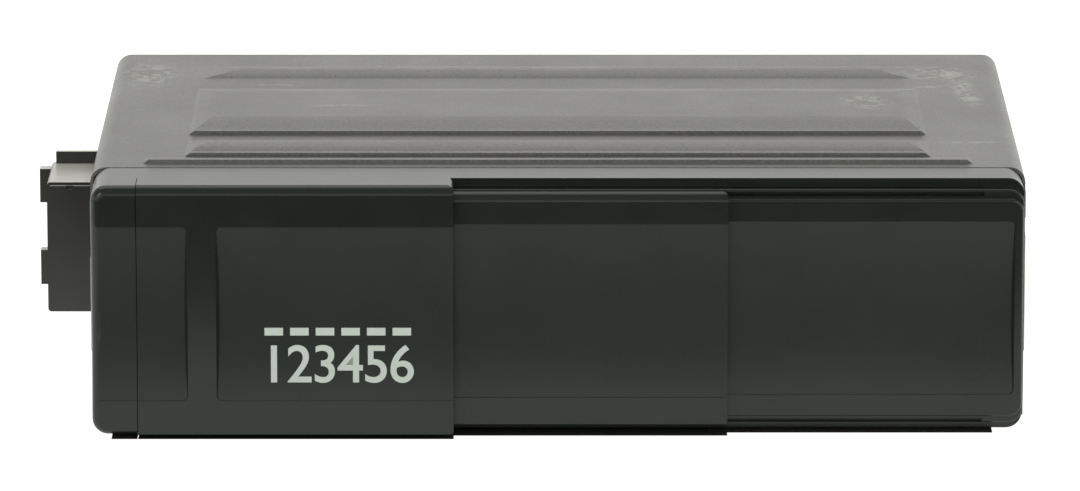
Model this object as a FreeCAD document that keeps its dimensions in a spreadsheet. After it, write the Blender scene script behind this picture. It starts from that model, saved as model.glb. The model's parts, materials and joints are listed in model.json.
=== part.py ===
"""Car CD changer with a six-disc magazine behind two sliding doors, as a parametric FreeCAD document.

Millimetres. X runs to the right seen from the front, Y towards the rear, Z up. The origin is the centre of the
underside. Sizes called _start or _back are distances behind the plane of the outer door's face.
"""

import FreeCAD
import Part

import math
import os
import re

import Sketcher
from FreeCAD import Placement, Rotation, Vector

# Driving dimensions: (name, value, meaning). Each is a cell of the spreadsheet.
SIZES = [
    ("case_width", 264.0, "metal case, outside"),
    ("case_depth", 184.0, "face of the outer door to the rear wall"),
    ("cover_top", 72.5, "flat top of the cover above the underside"),
    ("cover_gauge", 0.8, "sheet of the cover"),
    ("case_gauge", 1.0, "sheet of the bottom case"),
    ("cover_bend", 4.5, "outer radius of the cover's long bends"),
    ("cover_low", 0.6, "lower edge of the cover's sides"),
    ("rear_lip", 9.0, "height of the cover's rear lip"),
    ("metal_start", 25.6, "front edge of the metal case"),
    ("bead_height", 1.0, "first step of the pressed beads on the cover"),
    ("bead_root", 0.15, "how far a bead's block reaches into the sheet"),
    # Bezel, with two lips that the doors run on, and the fixed leaf
    ("bezel_set", 1.1, "bezel inside the metal case's width, each side"),
    ("bezel_wall", 2.0, "wall of the bezel"),
    ("bezel_corner", 4.5, "outer corners"),
    ("skirt_length", 5.4, "tongue of the bezel inside the metal case"),
    ("skirt_wall", 2.0, "wall of that tongue"),
    ("lip_start", 12.0, "front edge of the outer lip"),
    ("lip_set", 0.1, "outer lip below the top of the cover"),
    ("lip_low", 0.3, "underside of the outer lip"),
    ("ledge_start", 8.8, "front edge of the inner ledge"),
    ("ledge_step", 2.6, "inner ledge below the outer lip"),
    ("ledge_low", 2.6, "underside of the inner ledge"),
    ("ledge_corner", 4.2, "right corners of the ledge"),
    ("ledge_round", 0.5, "rounding of the ledge's front edge"),
    ("panel_start", 7.5, "face of the fixed panel"),
    ("panel_step", 2.4, "fixed panel below the inner ledge"),
    ("panel_low", 4.6, "underside of the fixed panel"),
    ("panel_overlap", 9.7, "middle door over the fixed panel"),
    ("panel_set", 0.25, "fixed panel inside the bezel's right side"),
    ("panel_depth", 3.3, "thickness of the fixed panel with its plug"),
    ("panel_plug_set", 1.4, "plug behind the fixed panel, inside its outline"),
    ("panel_corner", 3.7, "right corners of the fixed panel"),
    ("panel_round", 0.8, "rounding of the fixed panel's front edge"),
    ("groove_set", 11.4, "right end of the door grooves, inside the bezel's right side"),
    ("opening_set", 0.1, "loading opening inside the outer door's left edge"),
    ("opening_past", 5.5, "loading opening beyond the middle of the eject button"),
    ("opening_low", 5.8, "bottom of the loading opening"),
    ("opening_rim", 3.4, "top of the loading opening below the inner ledge"),
    # Doors
    ("door_low", 0.9, "underside of the outer door"),
    ("cap_width", 12.9, "end cap with its gap to the outer door"),
    ("outer_width", 88.7, "width of the outer door"),
    ("outer_skin", 3.5, "face thickness of the outer door"),
    ("outer_flange", 1.9, "top flange of the outer door"),
    ("outer_sole", 1.0, "bottom flange of the outer door"),
    ("outer_flange_end", 11.7, "rear edge of the outer door's flanges"),
    ("door_overlap", 10.7, "outer door over the middle door"),
    ("middle_width", 87.7, "width of the middle door"),
    ("middle_start", 4.0, "face of the middle door"),
    ("middle_skin", 3.2, "face thickness of the middle door"),
    ("middle_flange", 1.6, "top flange of the middle door"),
    ("middle_low", 2.9, "underside of the middle door"),
    ("middle_sole", 0.9, "bottom flange of the middle door"),
    ("middle_flange_end", 8.5, "rear edge of the middle door's flanges"),
    ("door_round", 2.6, "rounding of the top front edge of a door, and of the cap's outer edges"),
    ("door_sole_round", 0.8, "rounding of a door's bottom front edge"),
    ("door_corner", 1.5, "corners at a door's right edge"),
    ("tongue_width", 0.6, "guide tongues behind the door flanges"),
    ("tongue_play", 0.2, "clearance round a guide tongue"),
    ("middle_tongue", 1.9, "reach of the middle door's guide tongue"),
    ("tongue_bite", 0.7, "how far a guide tongue enters its groove"),
    # Recessed pads in the doors, the cap and the fixed panel, and the grip bar between them
    ("pad_low", 10.9, "lower edge of the pads"),
    ("pad_margin", 11.6, "upper edge of the pads below the top of the cover"),
    ("pad_edge", 0.35, "depth of the pads at their edges"),
    ("pad_scoop", 2.0, "depth of the pads in the middle of their concave face"),
    ("pad_lean", 0.45, "sideways lean of a pad's end wall, for each millimetre of depth"),
    ("pad_corner", 1.6, "corners of the pads"),
    ("bar_inset", 14.2, "grip bar from the outer door's left edge"),
    ("bar_width", 8.0, "width of the grip bar"),
    ("panel_pad_set", 2.3, "fixed panel's pad inside its right edge"),
    ("cap_gap", 0.2, "gap between the cap and the outer door"),
    ("cap_wall", 3.0, "wall of the cap's outer sides"),
    # Connector box on the left side
    ("plug_width", 13.2, "how far the connector box stands out"),
    ("plug_start", 40.0, "front of the connector box"),
    ("plug_length", 28.5, "connector box, front to rear"),
    ("plug_low", 27.0, "underside of the connector box"),
    ("plug_high", 64.7, "top of the connector box"),
    ("plug_wall", 1.6, "wall round the socket"),
    ("plug_socket", 14.0, "depth of the socket"),
    ("plug_plate", 1.3, "thickness of the front cover plate"),
    ("plug_corner", 1.0, "corners of the connector box"),
    ("keeper_height", 3.4, "latch keeper on top of the connector box"),
    ("keeper_depth", 1.6, "thickness of the latch keeper"),
    ("lug_reach", 3.3, "lugs on the outer face of the connector box"),
    ("lug_depth", 4.0, "lugs, front to rear"),
    ("pin_side", 0.8, "contact pin, square"),
    ("pin_length", 7.0, "contact pin, free length"),
    ("pin_pitch_z", 4.6, "contact pins, up the socket"),
    ("pin_pitch_x", 4.2, "contact pins, across the socket"),
    # Fasteners and side fittings
    ("screw_shank", 1.25, "radius of a screw's shank"),
    ("screw_head", 2.5, "radius of a screw's head"),
    ("screw_length", 5.0, "length of a rear screw's shank"),
    ("screw_head_height", 1.1, "height of a rear screw's head"),
    ("bezel_screw_low", 15.0, "lower bezel screws"),
    ("bezel_screw_rise", 40.0, "lower to upper bezel screws"),
    ("rear_screw_run", 100.0, "middle to outer rear screws"),
    ("mount_hole", 2.0, "radius of a side fixing hole"),
    ("nut_radius", 3.6, "radius of a weld nut"),
    ("nut_height", 3.0, "thickness of a weld nut"),
    ("mount_front", 90.0, "front side fixing holes, behind the door face"),
    ("mount_run", 70.0, "front to rear side fixing holes"),
    ("mount_low", 12.0, "lower side fixing holes"),
    ("mount_rise", 48.0, "lower to upper side fixing holes"),
    ("dial_radius", 8.8, "mounting-angle dial"),
    ("dial_flange", 10.4, "retaining flange of the dial"),
    ("dial_play", 0.3, "clearance round the dial"),
    ("dial_z", 14.0, "height of the dials"),
    ("label_gauge", 0.3, "stickers on the sides"),
    ("label_low", 19.0, "lower edge of the stickers"),
    ("label_start", 1.4, "stickers behind the metal case's front edge"),
    ("label_length", 44.6, "right sticker, front to rear"),
    ("label_height", 46.0, "right sticker, up"),
    ("small_label_height", 27.0, "left sticker, up"),
    # Magazine
    ("level_first", 28.0, "middle plane of the lowest disc"),
    ("level_pitch", 5.0, "from one disc to the next"),
    ("disc_radius", 60.0, "disc"),
    ("disc_bore", 7.5, "hole in the disc"),
    ("disc_gauge", 1.2, "thickness of the disc"),
    ("disc_play", 0.6, "clearance round the disc in its tray"),
    ("tray_floor", 1.4, "tray under the disc"),
    ("tray_rim", 0.9, "tray's rim above the disc's middle plane"),
    ("tray_length", 122.9, "tray, left to right"),
    ("tray_margin", 2.6, "tray beyond the disc recess, front and rear"),
    ("tray_hub", 19.0, "opening over the turntable"),
    ("tray_window", 17.0, "half width of the window over the pickup"),
    ("tray_play", 0.3, "clearance of a tray in the magazine"),
    ("magazine_set", 13.0, "magazine inside the case's left wall"),
    ("magazine_width", 135.2, "magazine, left to right"),
    ("magazine_wall", 2.0, "walls of the magazine"),
    ("magazine_floor", 1.5, "floor and lid of the magazine"),
    ("magazine_start", 25.0, "front of the magazine"),
    ("magazine_foot", 5.0, "underside of the magazine below the lowest disc"),
    ("magazine_head", 4.0, "top of the magazine above the highest disc"),
    ("rib_gauge", 1.2, "thickness of a tray runner"),
    ("rib_reach", 2.8, "reach of a tray runner"),
    ("bay_gauge", 1.0, "sheet of the magazine bay"),
    ("bay_play", 0.3, "clearance of the magazine in its bay"),
    ("fascia_gauge", 1.5, "slot plate behind the bezel"),
    ("button_size", 7.6, "eject button, across"),
    ("button_height", 6.0, "eject button, up"),
    ("button_aside", 7.2, "middle of the eject button beside the magazine bay"),
    ("button_over", 3.4, "middle of the eject button above the magazine bay's roof"),
    ("button_proud", 4.5, "button in front of the slot plate"),
    ("button_collar", 1.2, "wider collar that keeps the button in"),
    ("lever_arm", 40.0, "eject lever, pivot to tip"),
    ("lever_pivot_in", 57.2, "eject lever's pivot from the magazine's left side"),
    ("lever_clear", 5.0, "eject lever's pivot behind the magazine"),
    ("lever_tip", 1.9, "radius of the lever's tip"),
    ("lever_gap", 0.4, "gap between the tip and the magazine"),
    ("lever_z", 30.0, "underside of the eject lever"),
    ("lever_gauge", 2.0, "thickness of the eject lever"),
    # Chassis and suspension
    ("chassis_low", 4.0, "underside of the chassis plate"),
    ("chassis_gauge", 1.2, "sheet of the chassis and of the cam slides"),
    ("chassis_left_gap", 11.2, "chassis inside the case's left wall"),
    ("chassis_right_gap", 7.2, "chassis inside the case's right wall"),
    ("chassis_wall_gap", 2.2, "chassis walls beside the magazine bay"),
    ("chassis_top", 66.0, "top of the chassis walls"),
    ("damper_left_in", 14.0, "left dampers from the chassis's left edge"),
    ("damper_right_in", 11.0, "right dampers from the chassis's right edge"),
    ("damper_half_run", 50.5, "front to rear dampers, half"),
    ("damper_radius", 4.5, "oil damper"),
    ("damper_height", 7.0, "oil damper"),
    ("spring_radius", 6.2, "suspension spring, mean radius"),
    ("spring_wire", 0.5, "radius of the spring's wire"),
    ("ear_height", 6.0, "ears of the chassis above its plate"),
    # Lift
    ("park_level", 19.5, "disc plane of the parked player"),
    ("player_aside", 47.7, "middle of the turntable beside the magazine bay"),
    ("wall_gap", 0.8, "gaps between the player, the chassis walls and the cam slides"),
    ("lift_pin", 1.5, "radius of the lift pins"),
    ("pin_play", 0.1, "clearance of a lift pin in its slots"),
    ("pin_left_out", 16.0, "left lift pins from the turntable's middle"),
    ("pin_right_out", 28.0, "right lift pins from the turntable's middle"),
    ("cam_run", 24.0, "travel of the cam slides for the whole lift"),
    ("cam_low", 9.0, "lower edge of the cam slides"),
    ("cam_gap", 4.2, "cam slides beside the magazine bay"),
    ("cam_past", 4.0, "cam slides and deck beyond the right lift pins"),
    ("cam_web", 3.8, "pitch line of the racks above the slanted slots"),
    ("rack_module", 1.0, "tooth module of the racks"),
    ("rack_teeth", 14.0, "teeth of a rack pinion"),
    ("shaft_out", 26.0, "synchronising shaft from the turntable's middle"),
    ("shaft_radius", 1.5, "synchronising shaft"),
    ("gear_module", 0.6, "tooth module of the lift gear"),
    ("gear_teeth", 24.0, "teeth of the lift gear"),
    ("pinion_teeth", 12.0, "teeth of the motor's pinion"),
    ("gear_width", 2.0, "width of the gears"),
    ("motor_radius", 7.0, "lift motor"),
    ("motor_length", 14.0, "lift motor"),
    ("motor_flat", 0.4, "flat on the lift motor's top"),
    # Player
    ("deck_gap", 7.7, "deck beside the magazine bay"),
    ("deck_gauge", 1.2, "sheet of the deck"),
    ("deck_drop", 5.2, "underside of the deck below the disc plane"),
    ("deck_half", 65.1, "half length of the deck over its flanges"),
    ("spindle_radius", 9.0, "spindle motor"),
    ("spindle_height", 7.7, "spindle motor"),
    ("turntable_radius", 15.0, "turntable"),
    ("hub_radius", 7.2, "turntable's centring hub"),
    ("axle_radius", 1.0, "spindle axle"),
    ("run_play", 0.05, "running clearance of an axle"),
    ("rod_radius", 1.5, "pickup's guide rods and feed screw"),
    ("rod_drop", 8.0, "rods below the disc plane"),
    ("rod_half_pitch", 12.0, "guide rods, half pitch"),
    ("rod_first", 6.7, "rods start behind the turntable's middle"),
    ("rod_last", 61.7, "rods end behind the turntable's middle"),
    ("feed_out", 20.0, "feed screw from the turntable's middle"),
    ("feed_radius", 5.2, "feed motor"),
    ("feed_length", 16.0, "feed motor"),
    ("lens_inner", 24.0, "lens radius at the disc's first track"),
    ("sled_ahead", 14.0, "pickup sled in front of the lens"),
    ("sled_behind", 3.0, "pickup sled behind the lens"),
    ("clamp_radius", 14.0, "clamp disc"),
    ("clamp_neck", 8.4, "neck of the clamp disc"),
    ("arm_half", 6.0, "half width of the clamp arm"),
    ("hinge_pin", 0.8, "clamp arm's hinge pin"),
    ("knuckle", 1.4, "knuckles round the hinge pin"),
    ("hinge_back", 64.3, "hinge pin behind the turntable's middle"),
    ("hinge_rise", 4.9, "hinge pin above the disc plane"),
    # Electronics
    ("board_gauge", 1.6, "main board"),
    ("board_gap", 2.1, "main board above the bay"),
]

# Places worked out from the driving dimensions: (name, formula).
PLACES = [
    ("front_y", "-case_depth / 2"),
    ("back_y", "case_depth / 2"),
    ("side_x", "case_width / 2"),
    ("cover_in_x", "side_x - cover_gauge"),
    ("case_in_x", "cover_in_x - case_gauge"),
    ("metal_y", "front_y + metal_start"),
    ("inner_bend", "cover_bend - cover_gauge"),
    ("bezel_x", "side_x - bezel_set"),
    ("bezel_inner_x", "bezel_x - bezel_wall"),
    ("bezel_screw_y", "metal_y + skirt_length / 2"),
    ("rear_screw_z", "cover_top - cover_bend - rear_lip / 2"),
    ("lip_y", "front_y + lip_start"),
    ("ledge_y", "front_y + ledge_start"),
    ("panel_y", "front_y + panel_start"),
    ("plate_y", "lip_y + bezel_wall"),
    ("fascia_y", "plate_y + fascia_gauge"),
    ("lip_top", "cover_top - lip_set"),
    ("ledge_top", "lip_top - ledge_step"),
    ("panel_top", "ledge_top - panel_step"),
    ("panel_plug_low", "panel_low + panel_plug_set"),
    ("panel_plug_high", "panel_top - panel_plug_set"),
    ("outer_left", "-bezel_x + cap_width"),
    ("outer_right", "outer_left + outer_width"),
    ("middle_y", "front_y + middle_start"),
    ("middle_left", "outer_right - door_overlap"),
    ("middle_right", "middle_left + middle_width"),
    ("middle_back_y", "middle_y + middle_skin"),
    ("middle_top", "ledge_top"),
    ("panel_left", "middle_right - panel_overlap"),
    ("panel_right", "bezel_x - panel_set"),
    ("groove_end", "bezel_x - groove_set"),
    ("pad_high", "cover_top - pad_margin"),
    ("pad_mid", "(pad_low + pad_high) / 2"),
    ("pad_sag", "pad_scoop - pad_edge"),
    ("pad_radius", "(((pad_high - pad_low) / 2)^2 + pad_sag^2) / (2 * pad_sag)"),
    ("bar_left", "outer_left + bar_inset"),
    ("bar_right", "bar_left + bar_width"),
    ("panel_pad_right", "panel_right - panel_pad_set"),
    ("plug_y", "front_y + plug_start"),
    ("plug_back_y", "plug_y + plug_length"),
    ("plug_x", "-side_x - plug_width"),
    ("socket_y", "plug_back_y - plug_socket"),
    ("mount_y", "front_y + mount_front"),
    ("dial_y", "mount_y + mount_run / 2"),
    ("level_last", "level_first + 5 * level_pitch"),
    ("magazine_left", "-case_in_x + magazine_set"),
    ("magazine_right", "magazine_left + magazine_width"),
    ("magazine_y", "front_y + magazine_start"),
    ("disc_x", "magazine_left + magazine_wall + tray_play + 0.7 + disc_play + disc_radius"),
    ("tray_half", "disc_radius + disc_play + tray_margin"),
    ("magazine_half", "tray_half + tray_play + magazine_wall"),
    ("mid_y", "magazine_y + magazine_half"),
    ("magazine_back_y", "magazine_y + 2 * magazine_half"),
    ("magazine_low", "level_first - magazine_foot"),
    ("magazine_high", "level_last + magazine_head"),
    ("tray_left", "magazine_left + magazine_wall + tray_play"),
    ("tray_right", "tray_left + tray_length"),
    ("bay_floor", "magazine_low - bay_play"),
    ("bay_roof", "magazine_high + bay_play"),
    ("bay_left", "magazine_left - bay_play - bay_gauge"),
    ("bay_right", "magazine_right + bay_play"),
    ("bay_back_y", "magazine_back_y + 2"),
    ("button_x", "bay_right + button_aside"),
    ("button_z", "bay_roof + button_over"),
    ("opening_left", "outer_left + opening_set"),
    ("opening_right", "button_x + opening_past"),
    ("opening_high", "ledge_top - opening_rim"),
    ("chassis_high", "chassis_low + chassis_gauge"),
    ("chassis_left", "-case_in_x + chassis_left_gap"),
    ("chassis_right", "case_in_x - chassis_right_gap"),
    ("chassis_wall_left", "bay_right + chassis_wall_gap"),
    ("damper_left", "chassis_left + damper_left_in"),
    ("damper_right", "chassis_right - damper_right_in"),
    ("player_x", "bay_right + player_aside"),
    ("pin_left", "player_x - pin_left_out"),
    ("pin_right", "player_x + pin_right_out"),
    ("cam_left", "bay_right + cam_gap"),
    ("cam_right", "pin_right + cam_past"),
    ("shaft_x", "player_x + shaft_out"),
    ("deck_left", "bay_right + deck_gap"),
    ("deck_right", "pin_right + cam_past"),
    ("feed_x", "player_x + feed_out"),
    ("lever_pivot_x", "magazine_left + lever_pivot_in"),
    ("lever_pivot_y", "magazine_back_y + lever_clear"),
    ("ear_z", "chassis_high + ear_height - chassis_gauge"),
    ("wall_in", "deck_half + wall_gap"),
    ("wall_out", "wall_in + chassis_gauge"),
    ("cam_in", "wall_out + wall_gap / 2"),
    ("cam_out", "cam_in + chassis_gauge"),
    ("lift_travel", "level_last - park_level"),
    ("pin_z", "park_level - deck_drop + deck_gauge / 2"),
    ("slot_half", "lift_pin + pin_play"),
    ("rack_pitch_z", "pin_z + lift_travel + slot_half + cam_web"),
    ("rack_radius", "rack_module * rack_teeth / 2"),
    ("shaft_z", "rack_pitch_z + rack_radius"),
    ("gear_radius", "gear_module * gear_teeth / 2"),
    ("pinion_radius", "gear_module * pinion_teeth / 2"),
    ("lift_gear_y", "mid_y + cam_out + 1.8"),
    ("lift_motor_x", "shaft_x + gear_radius + pinion_radius"),
    ("lift_motor_y", "lift_gear_y + gear_width + 1.8"),
    ("shelf_z", "shaft_z + motor_radius - motor_flat"),
    ("shelf_left", "shaft_x + rack_radius - 1.8"),
    ("deck_z", "park_level - deck_drop"),
    ("deck_top_z", "deck_z + deck_gauge"),
    ("rod_z", "park_level - rod_drop"),
    ("rod_y", "mid_y + rod_first"),
    ("rod_end_y", "mid_y + rod_last"),
    ("lens_y", "mid_y + lens_inner"),
    ("clamp_z", "park_level + 1.1"),
    ("arm_z", "park_level + 3.8"),
    ("hinge_y", "mid_y + hinge_back"),
    ("hinge_z", "park_level + hinge_rise"),
    ("board_z", "bay_roof + bay_gauge + board_gap"),
]

SIZE_NAMES = {name for name, value, meaning in SIZES}
PLACE_NAMES = {name for name, formula in PLACES}
WORD = re.compile(r"[A-Za-z_][A-Za-z_0-9]*")
ALONG = {"x": Rotation(Vector(0, 1, 0), 90), "y": Rotation(Vector(1, 0, 0), -90), "z": Rotation()}

doc = FreeCAD.newDocument("cd_changer")
nodes = []


# Names, numbers and formulas ------------------------------------------------------------------------------------

def bound(formula):
    """The formula with each named value pointing at its cell or its place."""

    def full_name(match):
        word = match.group(0)
        if word in SIZE_NAMES:
            return "Sizes." + word
        if word in PLACE_NAMES:
            return "Places." + word
        return word

    return WORD.sub(full_name, str(formula))


def value(name):
    """The present number of a named size or place."""
    if name in SIZE_NAMES:
        return float(sheet.get(name))
    return float(getattr(places, name))


def make_sheet():
    cells = doc.addObject("Spreadsheet::Sheet", "Sizes")
    for row, (name, number, meaning) in enumerate(SIZES, start=1):
        cells.set(f"A{row}", name)
        cells.set(f"B{row}", str(number))
        cells.set(f"C{row}", meaning)
        cells.setAlias(f"B{row}", name)
    doc.recompute()
    return cells


def make_places():
    derived = doc.addObject("App::VarSet", "Places")
    for name, formula in PLACES:
        derived.addProperty("App::PropertyFloat", name)
        derived.setExpression(name, bound(formula))
    doc.recompute()
    return derived


# Basic solids ---------------------------------------------------------------------------------------------------

def box(x, y, z, label="block"):
    """A block between the low and high formula of each direction."""
    block = doc.addObject("Part::Box", label)
    for size, letter, (low, high) in (("Length", "x", x), ("Width", "y", y), ("Height", "z", z)):
        block.setExpression(size, bound(f"({high}) - ({low})"))
        block.setExpression(f"Placement.Base.{letter}", bound(low))
    return block


def lay(round_solid, axis, centre, span):
    """Puts a cylinder or cone along an axis, its base at the start of the span."""
    round_solid.Placement = Placement(Vector(), ALONG[axis])
    round_solid.setExpression("Height", bound(f"({span[1]}) - ({span[0]})"))
    others = iter(centre)
    for letter in "xyz":
        spot = span[0] if letter == axis else next(others)
        round_solid.setExpression(f"Placement.Base.{letter}", bound(spot))
    return round_solid


def rod(axis, centre, span, radius, label="round"):
    cylinder = doc.addObject("Part::Cylinder", label)
    cylinder.setExpression("Radius", bound(radius))
    return lay(cylinder, axis, centre, span)


def cone(axis, centre, span, first_radius, last_radius, label="taper"):
    taper = doc.addObject("Part::Cone", label)
    taper.setExpression("Radius1", bound(first_radius))
    taper.setExpression("Radius2", bound(last_radius))
    return lay(taper, axis, centre, span)


def ramp(x, y, z, top_x, top_y, label="ramp"):
    """A low block whose top face is smaller than its base: one storey of a pressed bead."""
    wedge = doc.addObject("Part::Wedge", label)
    wedge.Placement = Placement(Vector(), Rotation(Vector(1, 0, 0), 90))
    formulas = {
        "Xmin": x[0], "Xmax": x[1], "X2min": top_x[0], "X2max": top_x[1],
        "Zmin": f"-({y[1]})", "Zmax": f"-({y[0]})", "Z2min": f"-({top_y[1]})", "Z2max": f"-({top_y[0]})",
        "Ymin": z[0], "Ymax": z[1],
    }
    for name, formula in formulas.items():
        wedge.setExpression(name, bound(formula))
    return wedge


def join(shapes, label="joined"):
    fused = doc.addObject("Part::MultiFuse", label)
    fused.Shapes = list(shapes)
    fused.Refine = True
    return fused


def cut(base, tools, label="cut"):
    tools = list(tools)
    carved = doc.addObject("Part::Cut", label)
    carved.Base = base
    carved.Tool = tools[0] if len(tools) == 1 else join(tools, "tools")
    carved.Refine = True
    return carved


def overlap(first, second, label="shared"):
    common = doc.addObject("Part::MultiCommon", label)
    common.Shapes = [first, second]
    return common


def group(shapes, label="group"):
    """Separate identical solids as one node."""
    compound = doc.addObject("Part::Compound", label)
    compound.Links = list(shapes)
    return compound


def soften(base, radius, picks, label="softened"):
    """Rounds the straight edges along an axis that lie at given coordinates: picks is (axis, {letter: number})."""
    return soften_where(base, radius, lambda edge: edge.Curve.TypeId == "Part::GeomLine" and any(
        lies_on(edge, axis, spots) for axis, spots in picks), label)


def soften_where(base, radius, chosen, label="softened"):
    """Rounds the edges that the given test chooses."""
    doc.recompute()
    size = value(radius)
    rounded = doc.addObject("Part::Fillet", label)
    rounded.Base = base
    rounded.Edges = [(number, size, size) for number, edge in enumerate(base.Shape.Edges, start=1) if chosen(edge)]
    return rounded


def lies_on(edge, axis, spots):
    """Whether an edge runs along the axis at the named coordinates."""
    first, last = edge.Vertexes[0].Point, edge.Vertexes[-1].Point
    along = abs(getattr(last - first, axis)) > 0.99 * edge.Length
    middle = (first + last) / 2
    return along and all(abs(getattr(middle, letter) - spot) < 0.01 for letter, spot in spots.items())


def keep(label, shape):
    """Makes a finished sub-part: its label is its node's name."""
    shape.Label = label
    nodes.append(shape)
    return shape


def ready_made(label, shape):
    """A sub-part whose shape is computed from the sheet's values."""
    feature = doc.addObject("Part::Feature", label)
    feature.Shape = shape
    return feature


def sketched(label, plane, start, length, outline):
    """A padded body whose outline's corners are bound to named values.

    On YZ the outline is (y, z) and grows towards +X, on XY it is (x, y) and grows towards +Z, and on XZ it is
    (x, z) and grows towards -Y.
    """
    body = doc.addObject("PartDesign::Body", label)
    sketch = body.newObject("Sketcher::SketchObject", label + "_outline")
    support = [origin for origin in body.Origin.OriginFeatures if origin.Role == plane + "_Plane"][0]
    sketch.AttachmentSupport = [(support, "")]
    sketch.MapMode = "FlatFace"
    sketch.setExpression("AttachmentOffset.Base.z", bound(f"-({start})" if plane == "XZ" else start))
    count = len(outline)
    for corner in range(count):
        near = Vector(10 * math.cos(-6.28 * corner / count), 10 * math.sin(6.28 * corner / count), 0)
        far = Vector(10 * math.cos(-6.28 * (corner + 1) / count), 10 * math.sin(6.28 * (corner + 1) / count), 0)
        sketch.addGeometry(Part.LineSegment(near, far), False)
    for corner in range(count):
        sketch.addConstraint(Sketcher.Constraint("Coincident", corner, 2, (corner + 1) % count, 1))
    for corner, (across, up) in enumerate(outline):
        for kind, formula in (("DistanceX", across), ("DistanceY", up)):
            number = sketch.addConstraint(Sketcher.Constraint(kind, -1, 1, corner, 1, 10.0))
            sketch.setExpression(f"Constraints[{number}]", bound(formula))
    pad = body.newObject("PartDesign::Pad", label + "_pad")
    pad.Profile = sketch
    pad.setExpression("Length", bound(length))
    return body


# Case -----------------------------------------------------------------------------------------------------------

def side_holes(radius, x):
    """Round holes through one side: four fixing holes and the dial's window."""
    holes = [
        rod("x", (f"mount_y + {run} * mount_run", f"mount_low + {rise} * mount_rise"), x, radius)
        for run in (0, 1) for rise in (0, 1)
    ]
    return holes + [rod("x", ("dial_y", "dial_z"), x, "dial_radius + dial_play")]


def through(sign):
    """A span in X that passes through the case and the cover on one side."""
    return ("case_in_x - 1", "side_x + 1") if sign > 0 else ("-side_x - 1", "-case_in_x + 1")


def screw_places():
    """Where the bezel's screws go through both sides: (sign, height)."""
    return [(sign, height) for sign in (-1, 1) for height in ("bezel_screw_low", "bezel_screw_low + bezel_screw_rise")]


def bottom_case():
    floor = box(("-cover_in_x", "cover_in_x"), ("metal_y", "back_y - cover_gauge"), (0, "case_gauge"))
    rear = box(("-cover_in_x", "cover_in_x"), ("back_y - cover_gauge - case_gauge", "back_y - cover_gauge"),
               (0, "cover_top - cover_gauge - cover_bend"))
    walls = [
        box(("case_in_x", "cover_in_x"), ("metal_y", "back_y - cover_gauge"), (0, "cover_top - cover_bend")),
        box(("-cover_in_x", "-case_in_x"), ("metal_y", "back_y - cover_gauge"), (0, "cover_top - cover_bend")),
    ]
    holes = []
    for sign in (-1, 1):
        holes += side_holes("mount_hole", through(sign))
    for sign, height in screw_places():
        holes.append(rod("x", ("bezel_screw_y", height), through(sign), "screw_shank + 0.6"))
    holes += [rod("y", (x, "rear_screw_z"), ("back_y - 4", "back_y + 1"), "screw_shank")
              for x in REAR_SCREWS]
    return keep("bottom_case", cut(join([floor, rear] + walls), holes))


# Where the screws of the cover's rear lip sit, left to right
REAR_SCREWS = ("-rear_screw_run", "0", "rear_screw_run")

# Pressed beads of the cover as contour lines, from the lowest up. Each line gives its level in steps of the bead
# height, how far its front and its rear edge lie behind the door face, and how far it ends short of both sides.
BEADS = (
    ((0, 30.9, 38.5, 14.8), (1, 31.2, 33.0, 16.3)),
    ((0, 39.9, 61.0, 26.2), (1, 40.2, 56.5, 27.7)),
    ((1, 42.8, 56.0, 28.0), (1.35, 44.8, 55.2, 29.0), (1.6, 47.0, 54.2, 30.0), (1.8, 50.3, 52.9, 32.0)),
    ((0, 69.6, 134.0, 26.2), (1, 69.9, 127.5, 27.7)),
    ((1, 72.5, 127.0, 28.0), (1.4, 77.0, 125.0, 29.5), (1.75, 81.5, 123.0, 31.0), (1.95, 85.5, 121.0, 32.5)),
    ((0, 148.5, 166.0, 27.5), (0.4, 150.5, 164.0, 30.0), (0.7, 152.8, 162.5, 33.0), (1, 156.5, 160.0, 36.0)),
)


def beads(drop, inset):
    """The pressed shapes, standing on the sheet's outer face, or that far below it and drawn in by the inset."""
    shapes = []
    for contours in BEADS:
        lines = []
        for level, front, rear, end in contours:
            lines.append(((f"-side_x + {end} + {inset}", f"side_x - {end} - {inset}"),
                          (f"front_y + {front} + {inset}", f"front_y + {rear} - {inset}"),
                          f"cover_top + {level} * bead_height - {drop}"))
        x, y, foot = lines[0]
        shapes.append(box(x, y, (f"{foot} - bead_root", foot), "bead_root"))
        for (x, y, low), (top_x, top_y, high) in zip(lines, lines[1:]):
            shapes.append(ramp(x, y, (low, high), top_x, top_y, "bead"))
    return shapes


def top_cover():
    outer = soften(
        box(("-side_x", "side_x"), ("metal_y", "back_y"), ("cover_low", "cover_top")), "cover_bend",
        [("y", {"x": value("side_x"), "z": value("cover_top")}),
         ("y", {"x": -value("side_x"), "z": value("cover_top")})])
    outer = join([outer] + beads("0", "0"))
    inner = box(("-cover_in_x", "cover_in_x"), ("metal_y - 1", "back_y - cover_gauge"),
                ("cover_low - 1", "cover_top - cover_gauge"))
    inner = soften(inner, "inner_bend", [
        ("y", {"x": value("cover_in_x"), "z": value("cover_top") - value("cover_gauge")}),
        ("y", {"x": -value("cover_in_x"), "z": value("cover_top") - value("cover_gauge")})])
    rear_open = box(("-cover_in_x", "cover_in_x"), ("back_y - cover_gauge - 1", "back_y + 1"),
                    ("cover_low - 1", "cover_top - cover_bend - rear_lip"))
    holes = []
    for sign in (-1, 1):
        holes += side_holes("mount_hole", through(sign))
    for sign, height in screw_places():
        holes.append(countersink(sign, height))
    holes += [rod("y", (x, "rear_screw_z"), ("back_y - 4", "back_y + 1"), "screw_shank")
              for x in REAR_SCREWS]
    inner = join([inner] + beads("cover_gauge", "cover_gauge / 2"))
    return keep("top_cover", cut(outer, [inner, rear_open] + holes))


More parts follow.
